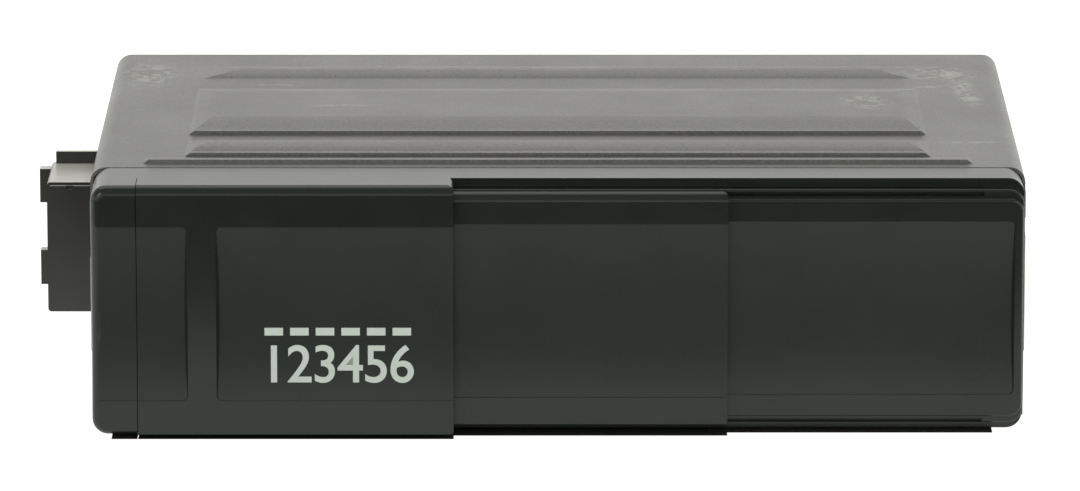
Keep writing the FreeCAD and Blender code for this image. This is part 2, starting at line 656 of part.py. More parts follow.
def countersink(sign, height):
    """The space of a flush screw in one side: a cone at the face and the shank behind it."""
    outside, inside = ("side_x", "side_x - screw_head + screw_shank")
    span = (inside, outside) if sign > 0 else ("-side_x", "-side_x + screw_head - screw_shank")
    radii = ("screw_shank", "screw_head") if sign > 0 else ("screw_head", "screw_shank")
    return cone("x", ("bezel_screw_y", height), span, *radii)


def bezel_screws():
    screws = []
    for sign, height in screw_places():
        shank = ("bezel_inner_x + 0.1", "side_x - 0.5") if sign > 0 else ("-side_x + 0.5", "-bezel_inner_x - 0.1")
        slot = box(
            ("side_x - 0.5", "side_x + 1") if sign > 0 else ("-side_x - 1", "-side_x + 0.5"),
            ("bezel_screw_y - 0.3", "bezel_screw_y + 0.3"), (f"{height} - 1.6", f"{height} + 1.6"))
        cross = box(
            ("side_x - 0.5", "side_x + 1") if sign > 0 else ("-side_x - 1", "-side_x + 0.5"),
            ("bezel_screw_y - 1.6", "bezel_screw_y + 1.6"), (f"{height} - 0.3", f"{height} + 0.3"))
        body = join([countersink(sign, height),
                     rod("x", ("bezel_screw_y", height), shank, "screw_shank")])
        screws.append(cut(body, [slot, cross]))
    return keep("bezel_screws", group(screws))


def cover_screws():
    """Pan-head screws through the cover's rear lip."""
    screws = []
    for x in REAR_SCREWS:
        centre = (x, "rear_screw_z")
        shank = rod("y", centre, ("back_y - screw_length", "back_y"), "screw_shank")
        head = cone("y", centre, ("back_y", "back_y + screw_head_height"),
                    "screw_head", "screw_head - 0.6")
        slot = box((f"{x} - 1.6", f"{x} + 1.6"), ("back_y + screw_head_height - 0.7", "back_y + 3"),
                   ("rear_screw_z - 0.3", "rear_screw_z + 0.3"))
        cross = box((f"{x} - 0.3", f"{x} + 0.3"), ("back_y + screw_head_height - 0.7", "back_y + 3"),
                    ("rear_screw_z - 1.6", "rear_screw_z + 1.6"))
        screws.append(cut(join([shank, head]), [slot, cross]))
    return keep("cover_screws", group(screws))


def side_mount_nuts():
    nuts = []
    for sign in (-1, 1):
        span = ("case_in_x - nut_height", "case_in_x") if sign > 0 else ("-case_in_x", "-case_in_x + nut_height")
        for run in (0, 1):
            for rise in (0, 1):
                centre = (f"mount_y + {run} * mount_run", f"mount_low + {rise} * mount_rise")
                nuts.append(cut(rod("x", centre, span, "nut_radius"), [rod("x", centre, through(sign), "mount_hole"),
                            rod("x", centre, (f"{sign} * case_in_x - 9", f"{sign} * case_in_x + 9"), "mount_hole")]))
    return keep("side_mount_nuts", group(nuts))


def angle_dial(name, sign):
    """Dial in the side with a retaining flange inside the case and a slot for a screwdriver."""
    flange = ("case_in_x - dial_play - 2", "case_in_x - dial_play")
    knob = ("case_in_x - dial_play - 1", "side_x - dial_play")
    slot = ("side_x - dial_play - 1.2", "side_x + 1")
    if sign < 0:
        flange, knob, slot = [(f"-({far})", f"-({near})") for near, far in (flange, knob, slot)]
    centre = ("dial_y", "dial_z")
    turned = join([rod("x", centre, flange, "dial_flange"), rod("x", centre, knob, "dial_radius")])
    groove = box(slot, ("dial_y - dial_radius + 1.5", "dial_y + dial_radius - 1.5"), ("dial_z - 0.8", "dial_z + 0.8"))
    dimple = rod("x", ("dial_y + dial_radius - 2.6", "dial_z + 3.4"), slot, 0.8)
    return keep(name, cut(turned, [groove, dimple]))


def side_labels():
    left = box(("-side_x - label_gauge", "-side_x"), ("metal_y + label_start", "plug_y - 0.5"),
               ("label_low", "label_low + small_label_height"))
    right = box(("side_x", "side_x + label_gauge"), ("metal_y + label_start", "metal_y + label_start + label_length"),
                ("label_low", "label_low + label_height"))
    right = cut(right, [rod("x", ("bezel_screw_y", height), ("side_x - 1", "side_x + 1"),
                            "screw_head + 0.4") for sign, height in screw_places() if sign > 0])
    left = cut(left, [rod("x", ("bezel_screw_y", height), ("-side_x - 1", "-side_x + 1"),
                          "screw_head + 0.4") for sign, height in screw_places() if sign < 0])
    return keep("side_labels", group([left, right]))


# Front ----------------------------------------------------------------------------------------------------------

def pad(face, x, sides=()):
    """The space of a recessed pad: on the given sides it ends in a leaning wall with rounded corners."""
    lean = {side: "pad_lean" if side in sides else "0" for side in ("left", "right")}
    block = doc.addObject("Part::Wedge", "pad_block")
    formulas = {
        "Ymin": f"{face} - 1", "Ymax": f"{face} + 3",
        "Xmin": f"{x[0]} - {lean['left']}", "Xmax": f"{x[1]} + {lean['right']}",
        "X2min": f"{x[0]} + 3 * {lean['left']}", "X2max": f"{x[1]} - 3 * {lean['right']}",
        "Zmin": "pad_low", "Zmax": "pad_high", "Z2min": "pad_low", "Z2max": "pad_high",
    }
    for name, formula in formulas.items():
        block.setExpression(name, bound(formula))
    if not sides:
        return block
    doc.recompute()
    middle = block.Shape.CenterOfMass.x

    def at_end(edge):
        start, end = edge.Vertexes[0].Point, edge.Vertexes[-1].Point
        return abs(start.y - end.y) > 1 and ("left" if start.x < middle else "right") in sides

    return soften_where(block, "pad_corner", at_end)


def scooped(shape, face, pads):
    """Sinks the pads into a front face that lies at the given Y."""
    roller = rod("x", (f"{face} + pad_scoop - pad_radius", "pad_mid"), ("-side_x", "side_x"), "pad_radius")
    return cut(shape, [overlap(space, roller) for space in pads])


def left_end_cap():
    """Fixed end piece whose pad runs out over its left edge, so that edge is rounded last."""
    left, low, high = -value("bezel_x"), value("door_low"), value("lip_top")
    body = box(("-bezel_x", "outer_left - cap_gap"), ("front_y", "lip_y"), ("door_low", "lip_top"))
    body = soften(body, "bezel_corner", [("y", {"x": left, "z": z}) for z in (low, high)])
    body = cut(body, [box(("-bezel_x + cap_wall", "outer_left - cap_gap - bezel_wall / 2"),
                          ("front_y + outer_skin", "lip_y + 1"), ("door_low + cap_wall", "lip_top - cap_wall"))])
    body = scooped(body, "front_y", [pad("front_y", ("-bezel_x - 5", "outer_left + 5"))])
    front, right = value("front_y"), value("outer_left") - value("cap_gap")

    def on_outline(edge):
        """The front edges of the top, the left side and the bottom, with the pad's run-out and the corners."""
        points = [vertex.Point for vertex in edge.Vertexes]
        if any(point.y > front + value("pad_edge") + 0.01 for point in points):
            return False
        across = abs(points[0].x - points[-1].x)
        if all(abs(point.x - left) < 0.01 for point in points):
            return True
        outer = all(min(abs(point.z - low), abs(point.z - high)) < 0.01 or abs(point.x - left) < 0.01
                    for point in points)
        return outer and across > 0.01 and any(point.x < right - 0.01 for point in points)

    return keep("left_end_cap", soften_where(body, "door_round", on_outline))


def outer_door():
    """Channel section with guide tongues that hook into grooves behind the inner ledge's edges."""
    tongue_y = "front_y + outer_flange_end - tongue_width"
    end_y = "front_y + outer_flange_end"
    outline = [
        ("front_y", "door_low"), (end_y, "door_low"), (end_y, "ledge_low + tongue_bite"),
        (tongue_y, "ledge_low + tongue_bite"), (tongue_y, "door_low + outer_sole"),
        ("front_y + outer_skin", "door_low + outer_sole"), ("front_y + outer_skin", "cover_top - outer_flange"),
        (tongue_y, "cover_top - outer_flange"), (tongue_y, "ledge_top - tongue_bite"),
        (end_y, "ledge_top - tongue_bite"), (end_y, "cover_top"), ("front_y", "cover_top"),
    ]
    door = sketched("outer_door_channel", "YZ", "outer_left", "outer_width", outline)
    door = rounded_leaf(door, "front_y", "outer_right", "door_low", "cover_top")
    pads = [pad("front_y", ("outer_left - 5", "bar_left"), ("right",)),
            pad("front_y", ("bar_right", "outer_right + 5"), ("left",))]
    return keep("outer_door", scooped(door, "front_y", pads))


def rounded_leaf(leaf, face, right, low, high):
    leaf = soften(leaf, "door_round", [("x", {"y": value(face), "z": value(high)})])
    leaf = soften(leaf, "door_sole_round", [("x", {"y": value(face), "z": value(low)})])
    square = box((f"{right} - door_corner", f"{right} + 1"), ("front_y - 1", "plate_y"), (-1, "cover_top + 1"))
    middle = box((f"{right} - door_corner - 1", f"{right} - door_corner"), ("front_y - 1", "plate_y"),
                 (-1, "cover_top + 1"))
    core = box((f"{right} - 3 * door_corner", right), ("front_y - 2", "plate_y + 1"), (low, high))
    core = soften(core, "door_corner", [("y", {"x": value(right), "z": value(low)}),
                                        ("y", {"x": value(right), "z": value(high)})])
    return cut(leaf, [cut(join([square, middle]), [core])])


def middle_door():
    """Channel section with barbed guide tongues that run in the ledge's front face."""
    end_y = "front_y + middle_flange_end"
    tip_y = f"{end_y} + middle_tongue"
    outline = [
        ("middle_y", "middle_low"), (end_y, "middle_low"), (tip_y, "middle_low"),
        (tip_y, "middle_low + middle_sole + tongue_bite"),
        (f"{tip_y} - tongue_width", "middle_low + middle_sole + tongue_bite"),
        (f"{tip_y} - tongue_width", "middle_low + middle_sole"),
        ("middle_back_y", "middle_low + middle_sole"), ("middle_back_y", "middle_top - middle_flange"),
        (f"{tip_y} - tongue_width", "middle_top - middle_flange"),
        (f"{tip_y} - tongue_width", "middle_top - middle_flange - tongue_bite"),
        (tip_y, "middle_top - middle_flange - tongue_bite"),
        (tip_y, "middle_top - middle_flange + tongue_width"),
        (end_y, "middle_top - middle_flange + tongue_width"),
        (end_y, "middle_top"), ("middle_y", "middle_top"),
    ]
    door = sketched("middle_door_channel", "YZ", "middle_left", "middle_width", outline)
    door = rounded_leaf(door, "middle_y", "middle_right", "middle_low", "middle_top")
    return keep("middle_door", scooped(door, "middle_y", [pad("middle_y", ("middle_left - 5", "middle_right + 5"))]))


def bezel_frame():
    shell = box(("-bezel_x", "bezel_x"), ("lip_y", "metal_y"), ("lip_low", "lip_top"))
    side, low, high = value("bezel_x"), value("lip_low"), value("lip_top")
    shell = soften(shell, "bezel_corner", [("y", {"x": x, "z": z}) for x in (-side, side) for z in (low, high)])
    hollow = box(("-bezel_inner_x", "bezel_inner_x"), ("plate_y", "metal_y + 1"),
                 ("lip_low + bezel_wall", "lip_top - bezel_wall"))
    skirt = box(("-case_in_x", "case_in_x"), ("metal_y", "metal_y + skirt_length"),
                ("case_gauge", "cover_top - cover_gauge"))
    under = value("cover_top") - value("cover_gauge")
    skirt = soften(skirt, "inner_bend", [("y", {"x": sign * value("case_in_x"), "z": under}) for sign in (-1, 1)])
    skirt_hole = box(("-bezel_inner_x", "bezel_inner_x"), ("metal_y - 1", "metal_y + skirt_length + 1"),
                     ("case_gauge + skirt_wall", "cover_top - cover_gauge - skirt_wall"))
    skirt = cut(skirt, [skirt_hole])
    ledge = box(("outer_left - cap_gap", "bezel_x - 0.1"), ("ledge_y", "lip_y"), ("ledge_low", "ledge_top"))
    right = side - 0.1
    ledge = soften(ledge, "ledge_corner", [("y", {"x": right, "z": value("ledge_low")}),
                                           ("y", {"x": right, "z": value("ledge_top")})])
    ledge = soften(ledge, "ledge_round", [("x", {"y": value("ledge_y"), "z": value("ledge_top")}),
                                          ("z", {"y": value("ledge_y"), "x": right})])
    frame = cut(join([shell, ledge]), [hollow])
    opening = box(("opening_left", "opening_right"), ("front_y", "plate_y + 1"), ("opening_low", "opening_high"))
    frame = cut(frame, [opening, panel_plug()] + door_grooves() + screw_holes())
    skirt = cut(skirt, screw_holes())
    return keep("bezel_frame", join([frame, skirt]))


def screw_holes():
    return [rod("x", ("bezel_screw_y", height),
                (f"{sign} * bezel_x - 6", f"{sign} * bezel_x + 6"), "screw_shank") for sign, height in screw_places()]


def door_grooves():
    """Grooves for the guide tongues of both doors, above and below the opening."""
    outer_y = ("front_y + outer_flange_end - tongue_width - tongue_play", "front_y + outer_flange_end + tongue_play")
    run = ("outer_left - 1", "groove_end")
    middle_end = "front_y + middle_flange_end + middle_tongue"
    mouth_y = ("ledge_y - 1", f"{middle_end} + tongue_play")
    barb_y = (f"{middle_end} - tongue_width - tongue_play", f"{middle_end} + tongue_play")
    top = "middle_top - middle_flange"
    low = "middle_low + middle_sole"
    return [
        box(run, outer_y, ("ledge_top - tongue_bite - tongue_play", "cover_top")),
        box(run, outer_y, ("-1", "ledge_low + tongue_bite + tongue_play")),
        box(run, mouth_y, (f"{top} - tongue_play", f"{top} + tongue_width + tongue_play")),
        box(run, barb_y, (f"{top} - tongue_bite - tongue_play", top)),
        box(run, mouth_y, ("middle_low - tongue_play", f"{low} + tongue_play")),
        box(run, barb_y, (low, f"{low} + tongue_bite + tongue_play")),
    ]


def panel_plug():
    """The part of the fixed panel that sits in a pocket of the ledge."""
    return box(("panel_left + 1", "panel_right - 1"), ("panel_y + 0.5", "panel_y + panel_depth"),
               ("panel_plug_low", "panel_plug_high"))


def fixed_panel():
    body = box(("panel_left", "panel_right"), ("panel_y", "ledge_y"), ("panel_low", "panel_top"))
    right = value("panel_right")
    body = soften(body, "panel_corner", [("y", {"x": right, "z": value("panel_low")}),
                                         ("y", {"x": right, "z": value("panel_top")})])
    body = soften(body, "panel_round", [("x", {"y": value("panel_y"), "z": value("panel_top")}),
                                        ("z", {"y": value("panel_y"), "x": right})])
    body = join([body, panel_plug()])
    space = pad("panel_y", ("panel_left - 5", "panel_pad_right"), ("right",))
    return keep("fixed_panel", scooped(body, "panel_y", [space]))


def slot_fascia():
    plate = box(("opening_left - 2", "opening_right + 2"), ("plate_y", "fascia_y"),
                ("opening_low - 2", "opening_high + 2"))
    slot = box(("magazine_left - bay_play", "magazine_right + bay_play"), ("plate_y - 1", "fascia_y + 1"),
               ("magazine_low - bay_play", "magazine_high + bay_play"))
    hole = box(("button_x - button_size / 2 - 0.3", "button_x + button_size / 2 + 0.3"),
               ("plate_y - 1", "fascia_y + 1"),
               ("button_z - button_height / 2 - 0.3", "button_z + button_height / 2 + 0.3"))
    return keep("slot_fascia", cut(plate, [slot, hole]))


# Connector box --------------------------------------------------------------------------------------------------

def connector_housing():
    body = box(("plug_x", "-side_x"), ("plug_y + plug_plate", "plug_back_y"), ("plug_low", "plug_high"))
    left = value("plug_x")
    body = soften(body, "plug_corner", [("y", {"x": left, "z": value("plug_low")}),
                                        ("y", {"x": left, "z": value("plug_high")})])
    socket = box(("plug_x + plug_wall", "-side_x - plug_wall"), ("socket_y", "plug_back_y + 1"),
                 ("plug_low + plug_wall", "plug_high - plug_wall"))
    key = box(("plug_x + plug_wall", "plug_x + plug_wall + 1"), ("socket_y", "plug_back_y"),
              ("(plug_low + plug_high) / 2 - 2", "(plug_low + plug_high) / 2 + 2"))
    keeper = box(("plug_x + 1.3", "-side_x"), ("plug_back_y - keeper_depth", "plug_back_y"),
                 ("plug_high", "plug_high + keeper_height"))
    lugs = []
    for low, high in (("plug_low + 2.6", "plug_low + 12.7"), ("plug_high - 11.0", "plug_high - 1.2")):
        lugs.append(box(("plug_x - lug_reach", "plug_x"), ("plug_back_y - lug_depth", "plug_back_y"), (low, high)))
    body = join([cut(body, [socket]), keeper, key] + lugs)
    return keep("connector_housing", body)


def connector_cover():
    plate = box(("plug_x + 0.3", "-side_x"), ("plug_y", "plug_y + plug_plate"), ("plug_low + 0.3", "plug_high - 0.8"))
    left = value("plug_x") + 0.3
    plate = soften(plate, "plug_corner", [("y", {"x": left, "z": value("plug_low") + 0.3}),
                                          ("y", {"x": left, "z": value("plug_high") - 0.8})])
    notches = [rod("y", ("plug_x / 2 - side_x / 2", height), ("plug_y - 1", "plug_y + 0.6"), 1.1)
               for height in ("plug_high - 0.8", "plug_low + 0.3")]
    return keep("connector_cover", cut(plate, notches))


def connector_pins():
    pins = []
    middle_x, middle_z = "(plug_x - side_x) / 2", "(plug_low + plug_high) / 2"
    for column in (-0.5, 0.5):
        for row in (-2.5, -1.5, -0.5, 0.5, 1.5, 2.5):
            x = f"{middle_x} + {column} * pin_pitch_x"
            z = f"{middle_z} + {row} * pin_pitch_z"
            pins.append(box((f"{x} - pin_side / 2", f"{x} + pin_side / 2"), ("socket_y", "socket_y + pin_length"),
                            (f"{z} - pin_side / 2", f"{z} + pin_side / 2")))
    return keep("connector_pins", group(pins))


# Magazine -------------------------------------------------------------------------------------------------------

def level(number):
    """Formula of the middle plane of a disc."""
    return f"level_first + {number} * level_pitch"


def magazine_body():
    shell = box(("magazine_left", "magazine_right"), ("magazine_y", "magazine_back_y"),
                ("magazine_low", "magazine_high - magazine_floor"))
    shell = soften(shell, "plug_corner", [("z", {"x": value("magazine_left"), "y": value("magazine_y")}),
                                          ("z", {"x": value("magazine_right"), "y": value("magazine_y")})])
    room = box(("magazine_left + magazine_wall", "magazine_right + 1"),
               ("magazine_y + magazine_wall", "magazine_back_y - magazine_wall"),
               ("magazine_low + magazine_floor", "magazine_high"))
    grip = box(("magazine_left + 42", "magazine_left + 92"), ("magazine_y - 1", "magazine_y + magazine_wall - 0.8"),
               ("magazine_low + 10", "magazine_low + 24"))
    runners = []
    for number in range(6):
        z = (f"{level(number)} - 3.5", f"{level(number)} - 3.5 + rib_gauge")
        x = ("magazine_left + magazine_wall", "magazine_right")
        runners.append(box(x, ("magazine_y + magazine_wall", "magazine_y + magazine_wall + rib_reach"), z))
        runners.append(box(x, ("magazine_back_y - magazine_wall - rib_reach", "magazine_back_y - magazine_wall"), z))
    return keep("magazine_body", join([cut(shell, [room, grip])] + runners))


def magazine_top():
    lid = box(("magazine_left", "magazine_right"), ("magazine_y", "magazine_back_y"),
              ("magazine_high - magazine_floor", "magazine_high"))
    lid = soften(lid, "plug_corner", [("z", {"x": value("magazine_left"), "y": value("magazine_y")}),
                                      ("z", {"x": value("magazine_right"), "y": value("magazine_y")})])
    arrow = box(("magazine_left + 60", "magazine_left + 76"), ("magazine_y + 8", "magazine_y + 11"),
                ("magazine_high - 0.5", "magazine_high + 1"))
    return keep("magazine_top", cut(lid, [arrow]))


def disc_tray(number):
    plane = level(number)
    floor = f"{plane} - disc_gauge / 2 - tray_floor"
    seat = f"{plane} - disc_gauge / 2"
    plate = box(("tray_left", "tray_right"), ("mid_y - tray_half", "mid_y + tray_half"), (floor, f"{plane} + tray_rim"))
    recess = rod("z", ("disc_x", "mid_y"), (seat, f"{plane} + 5"), "disc_radius + disc_play")
    hub = rod("z", ("disc_x", "mid_y"), (f"{floor} - 1", f"{plane} + 5"), "tray_hub")
    window = box(("disc_x - tray_window", "disc_x + tray_window"), ("mid_y", "mid_y + disc_radius - 0.5"),
                 (f"{floor} - 1", f"{plane} + 5"))
    finger = rod("z", ("tray_right", "mid_y"), (f"{floor} - 1", f"{plane} + 5"), 11)
    hook = box(("tray_right - 7", "tray_right - 3"), ("mid_y + tray_half - 1.6", "mid_y + tray_half + 1"),
               (f"{floor} - 1", f"{plane} + 5"))
    return keep(f"disc_tray_{number + 1}", cut(plate, [recess, hub, window, finger, hook]))


def disc(number):
    plane = level(number)
    span = (f"{plane} - disc_gauge / 2", f"{plane} + disc_gauge / 2")
    centre = ("disc_x", "mid_y")
    return keep(f"disc_{number + 1}", cut(rod("z", centre, span, "disc_radius"), [
        rod("z", centre, (f"{plane} - 3", f"{plane} + 3"), "disc_bore")]))


def magazine_bay():
    """Cage of bent sheet that holds the magazine; bosses on its roof carry the main board."""
    run = ("fascia_y", "bay_back_y")
    sheets = [
        box(("bay_left", "bay_right + bay_gauge"), run, ("bay_floor - bay_gauge", "bay_floor")),
        box(("bay_left", "bay_left + bay_gauge"), run, ("chassis_high", "bay_roof + bay_gauge")),
        box(("bay_right", "bay_right + bay_gauge"), run, ("chassis_high", "bay_floor")),
        box(("bay_left", "bay_right + bay_gauge"), run, ("bay_roof", "bay_roof + bay_gauge")),
        box(("bay_right", "bay_right + bay_gauge"), ("fascia_y", "magazine_y"), ("bay_floor", "bay_roof")),
        box(("bay_right", "bay_right + bay_gauge"), ("magazine_back_y - 1.2", "bay_back_y"), ("bay_floor", "bay_roof")),
    ]
    bosses = [rod("z", (x, y), ("bay_roof", "board_z"), 2.5) for x, y in board_corners()]
    light = [box((x, f"{x} + 34"), ("mid_y - 45", "mid_y + 45"), ("chassis_high + 1", "bay_floor + 1"))
             for x in ("bay_left + 11", "bay_left + 52", "bay_left + 93")]
    return keep("magazine_bay", cut(join(sheets + bosses), light))


def board_corners():
    return [(x, y) for x in ("bay_left + 8", "bay_right - 10") for y in ("mid_y - 55", "mid_y + 55")]


def eject_button():
    x = ("button_x - button_size / 2", "button_x + button_size / 2")
    z = ("button_z - button_height / 2", "button_z + button_height / 2")
    stem = box(x, ("plate_y - button_proud", "fascia_y + 1"), z)
    stem = soften(stem, "pad_corner", [("y", {"x": value("button_x") + side * value("button_size") / 2,
                                              "z": value("button_z") + rise * value("button_height") / 2})
                                       for side in (-1, 1) for rise in (-1, 1)])
    collar = box(("button_x - button_size / 2 - button_collar", "button_x + button_size / 2 + button_collar"),
                 ("fascia_y + 0.3", "fascia_y + 1.7"),
                 ("button_z - button_height / 2 - button_collar", "button_z + button_height / 2 + button_collar"))
    return keep("eject_button", join([stem, collar]))


def eject_switch():
    """Push switch on a small board behind the eject button, on the chassis's front wall."""
    wall = "mid_y - wall_out"
    board = box(("button_x - 5", "button_x + 6"), (f"{wall} - 1.3", wall), ("button_z - 4.4", "button_z + 4.8"))
    switch = box(("button_x - 3", "button_x + 3"), (f"{wall} - 2.8", f"{wall} - 1.3"), ("button_z - 3", "button_z + 3"))
    plunger = rod("y", ("button_x", "button_z"), (f"{wall} - 3.1", f"{wall} - 2.8"), 1.5)
    return keep("eject_switch", join([board, switch, plunger]))


def eject_lever():
    """Lever behind the magazine: it turns about a post and its round tip pushes the magazine out."""
    z = ("lever_z", "lever_z + lever_gauge")
    tip_y = "magazine_back_y + lever_gap + lever_tip"
    lean = math.asin((value("lever_pivot_y") - value("magazine_back_y") - value("lever_gap") - value("lever_tip"))
                     / value("lever_arm"))
    pivot = Vector(value("lever_pivot_x"), value("lever_pivot_y"), value("lever_z"))
    tip = pivot + Vector(value("lever_arm") * math.cos(lean), -value("lever_arm") * math.sin(lean), 0)
    arm = Part.makeBox(value("lever_arm"), 3.4, value("lever_gauge"), Vector(0, -1.7, 0))
    arm.rotate(Vector(), Vector(0, 0, 1), -math.degrees(lean))
    arm.translate(pivot)
    hub = Part.makeCylinder(4.4, value("lever_gauge") + 2, pivot)
    end = Part.makeCylinder(value("lever_tip"), value("lever_gauge"), tip)
    bore = Part.makeCylinder(value("screw_shank") + 0.75 + value("run_play"), 20, pivot - Vector(0, 0, 5))
    lever = arm.fuse([hub, end]).removeSplitter().cut(bore)
    return keep("eject_lever", ready_made("eject lever", lever))


def eject_pivot():
    """Post on the chassis that the eject lever turns on."""
    centre = ("lever_pivot_x", "lever_pivot_y")
    post = rod("z", centre, ("chassis_high", "lever_z + lever_gauge + 3.5"), "screw_shank + 0.75")
    foot = rod("z", centre, ("chassis_high", "lever_z - 0.2"), 2.8)
    ring = rod("z", centre, ("lever_z + lever_gauge + 2.2", "lever_z + lever_gauge + 3"), 3.2)
    return keep("eject_pivot", join([post, foot, ring]))


# Chassis and suspension -----------------------------------------------------------------------------------------

def damper_places():
    return [(x, f"mid_y + {side} * damper_half_run") for x in ("damper_left", "damper_right") for side in (-1, 1)]


def mech_frame():
    plate = box(("chassis_left", "chassis_right"), ("mid_y - wall_out", "mid_y + wall_out"),
                ("chassis_low", "chassis_high"))
    tail = box(("lever_pivot_x - 7", "lever_pivot_x + 7"), ("mid_y + wall_out - 1", "lever_pivot_y + 6"),
               ("chassis_low", "chassis_high"))
    walls = []
    for near, far in (("mid_y - wall_out", "mid_y - wall_in"), ("mid_y + wall_in", "mid_y + wall_out")):
        wall = box(("chassis_wall_left", "chassis_right"), (near, far), ("chassis_low", "chassis_top"))
        slots = [box((f"{x} - slot_half", f"{x} + slot_half"), (f"{near} - 1", f"{far} + 1"),
                     ("pin_z - slot_half", "pin_z + lift_travel + slot_half")) for x in ("pin_left", "pin_right")]
        bearing = rod("y", ("shaft_x", "shaft_z"), (f"{near} - 1", f"{far} + 1"), "shaft_radius + run_play")
        walls.append(cut(wall, slots + [bearing]))
    shelf = box(("shelf_left", "lift_motor_x + motor_radius"), ("mid_y + wall_in", "lift_motor_y + motor_length"),
                ("shelf_z", "shelf_z + chassis_gauge"))
    riser = box(("shelf_left", "lift_motor_x + motor_radius"), ("mid_y + wall_in", "mid_y + wall_out"),
                ("chassis_top - 1", "shelf_z + chassis_gauge"))
    ears, holes = [], []
    for x, y in damper_places():
        holes.append(rod("z", (x, y), ("chassis_low - 1", "chassis_high + 1"), "spring_radius + 1.3"))
        ears.append(box((f"{x} - 10", f"{x} + 10"), (f"{y} - 3", f"{y} + 3"), ("ear_z", "ear_z + chassis_gauge")))
        for side in ("-10", "8.8"):
            ears.append(box((f"{x} + {side}", f"{x} + {side} + chassis_gauge"), (f"{y} - 3", f"{y} + 3"),
                            ("chassis_low", "ear_z + chassis_gauge")))
    plate = cut(join([plate, tail]), holes)
    return keep("mech_frame", join([plate, shelf, riser] + walls + ears))


def oil_dampers():
    dampers = []
    for x, y in damper_places():
        cup = rod("z", (x, y), ("case_gauge", "case_gauge + damper_height"), "damper_radius")
        waist = cone("z", (x, y), ("case_gauge + damper_height - 0.1", "ear_z - 0.6"), "damper_radius - 0.8", 2)
        stud = rod("z", (x, y), ("ear_z - 0.7", "ear_z"), 1.2)
        dampers.append(join([cup, waist, stud]))
    return keep("oil_dampers", group(dampers))


COIL_STEPS = 12


def coil(turns, mean, wire, height):
    """A round wire wound upwards from Z = 0 about the Z axis."""
    points = []
    for step in range(turns * COIL_STEPS + 1):
        angle = 2 * math.pi * step / COIL_STEPS
        points.append(Vector(mean * math.cos(angle), mean * math.sin(angle), height * step / (turns * COIL_STEPS)))
    line = Part.BSplineCurve()
    line.interpolate(points)
    section = Part.Wire([Part.makeCircle(wire, points[0], line.tangent(line.FirstParameter)[0])])
    return Part.Wire([line.toShape()]).makePipeShell([section], True, False)


def suspension_springs():
    """Coil springs round the dampers, between the case floor and the chassis's ears."""
    wire = value("spring_wire")
    low, high = value("case_gauge") + wire * 1.1, value("ear_z") - wire * 1.1
    springs = []
    for x in (value("damper_left"), value("damper_right")):
        for side in (-1, 1):
            spring = coil(4, value("spring_radius"), wire, high - low)
            spring.translate(Vector(x, value("mid_y") + side * value("damper_half_run"), low))
            springs.append(spring)
    return keep("suspension_springs", ready_made("coil springs", Part.makeCompound(springs)))


# Gears ----------------------------------------------------------------------------------------------------------

PRESSURE_ANGLE = math.radians(20)
ADDENDUM = 0.8
DEDENDUM = 1.05
BACKLASH = 0.14


def gear(module, teeth, width, bore, toward):
    """Involute spur gear in the XZ plane, its base at Y = 0, with one tooth pointing at the angle toward."""
    pitch = module * teeth / 2
    base = pitch * math.cos(PRESSURE_ANGLE)
    tip, root = pitch + ADDENDUM * module, pitch - DEDENDUM * module
    half_tooth = (math.pi / 2 - BACKLASH) / teeth + math.tan(PRESSURE_ANGLE) - PRESSURE_ANGLE
    first = max(base, root)
    flank = []
    for step in range(6):
        radius = first + (tip - first) * step / 5
        roll = math.acos(min(1.0, base / radius))
        flank.append((radius, half_tooth - (math.tan(roll) - roll)))
    edges = []
    for tooth in range(teeth):
        middle = toward + 2 * math.pi * tooth / teeth
        rising = [polar(root, middle - flank[0][1])] if root < base else []
        rising += [polar(radius, middle - angle) for radius, angle in flank]
        falling = [polar(radius, middle + angle) for radius, angle in reversed(flank)]
        falling += [polar(root, middle + flank[0][1])] if root < base else []
        edges += [Part.makeLine(a, b) for a, b in zip(rising, rising[1:])]
        edges.append(Part.Arc(rising[-1], polar(tip, middle), falling[0]).toShape())
        edges += [Part.makeLine(a, b) for a, b in zip(falling, falling[1:])]
        gap = middle + math.pi / teeth
        start = polar(root, middle + 2 * math.pi / teeth - flank[0][1])
        if root >= base:
            start = polar(flank[0][0], middle + 2 * math.pi / teeth - flank[0][1])
        edges.append(Part.Arc(falling[-1], polar((falling[-1]).Length, gap), start).toShape())
    face = Part.Face(Part.Wire(edges))
    solid = face.extrude(Vector(0, width, 0))
    return solid.cut(Part.makeCylinder(bore, width + 2, Vector(0, -1, 0), Vector(0, 1, 0)))


def polar(radius, angle):
    return Vector(radius * math.cos(angle), 0, radius * math.sin(angle))


def rack_teeth(left, right, gap_at, depth):
    """Straight-sided rack teeth on the pitch line Z = 0, standing on their root, with a gap at one place."""
    module = value("rack_module")
    pitch = math.pi * module
    half = (pitch / 2 - BACKLASH * module / 2) / 2
    lean = math.tan(PRESSURE_ANGLE)
    low, high = -DEDENDUM * module, ADDENDUM * module
    teeth = []
    first = math.ceil((left + half + 1 - gap_at) / pitch - 0.5)
    last = math.floor((right - half - 1 - gap_at) / pitch - 0.5)
    for number in range(first, last + 1):
        middle = gap_at + (number + 0.5) * pitch
        foot, head = half - low * lean, half - high * lean
        points = [Vector(middle - foot, 0, low - 0.3), Vector(middle - foot, 0, low), Vector(middle - head, 0, high),
                  Vector(middle + head, 0, high), Vector(middle + foot, 0, low), Vector(middle + foot, 0, low - 0.3)]
        teeth.append(Part.Face(Part.makePolygon(points + points[:1])).extrude(Vector(0, depth, 0)))
    return teeth


# Lift -----------------------------------------------------------------------------------------------------------

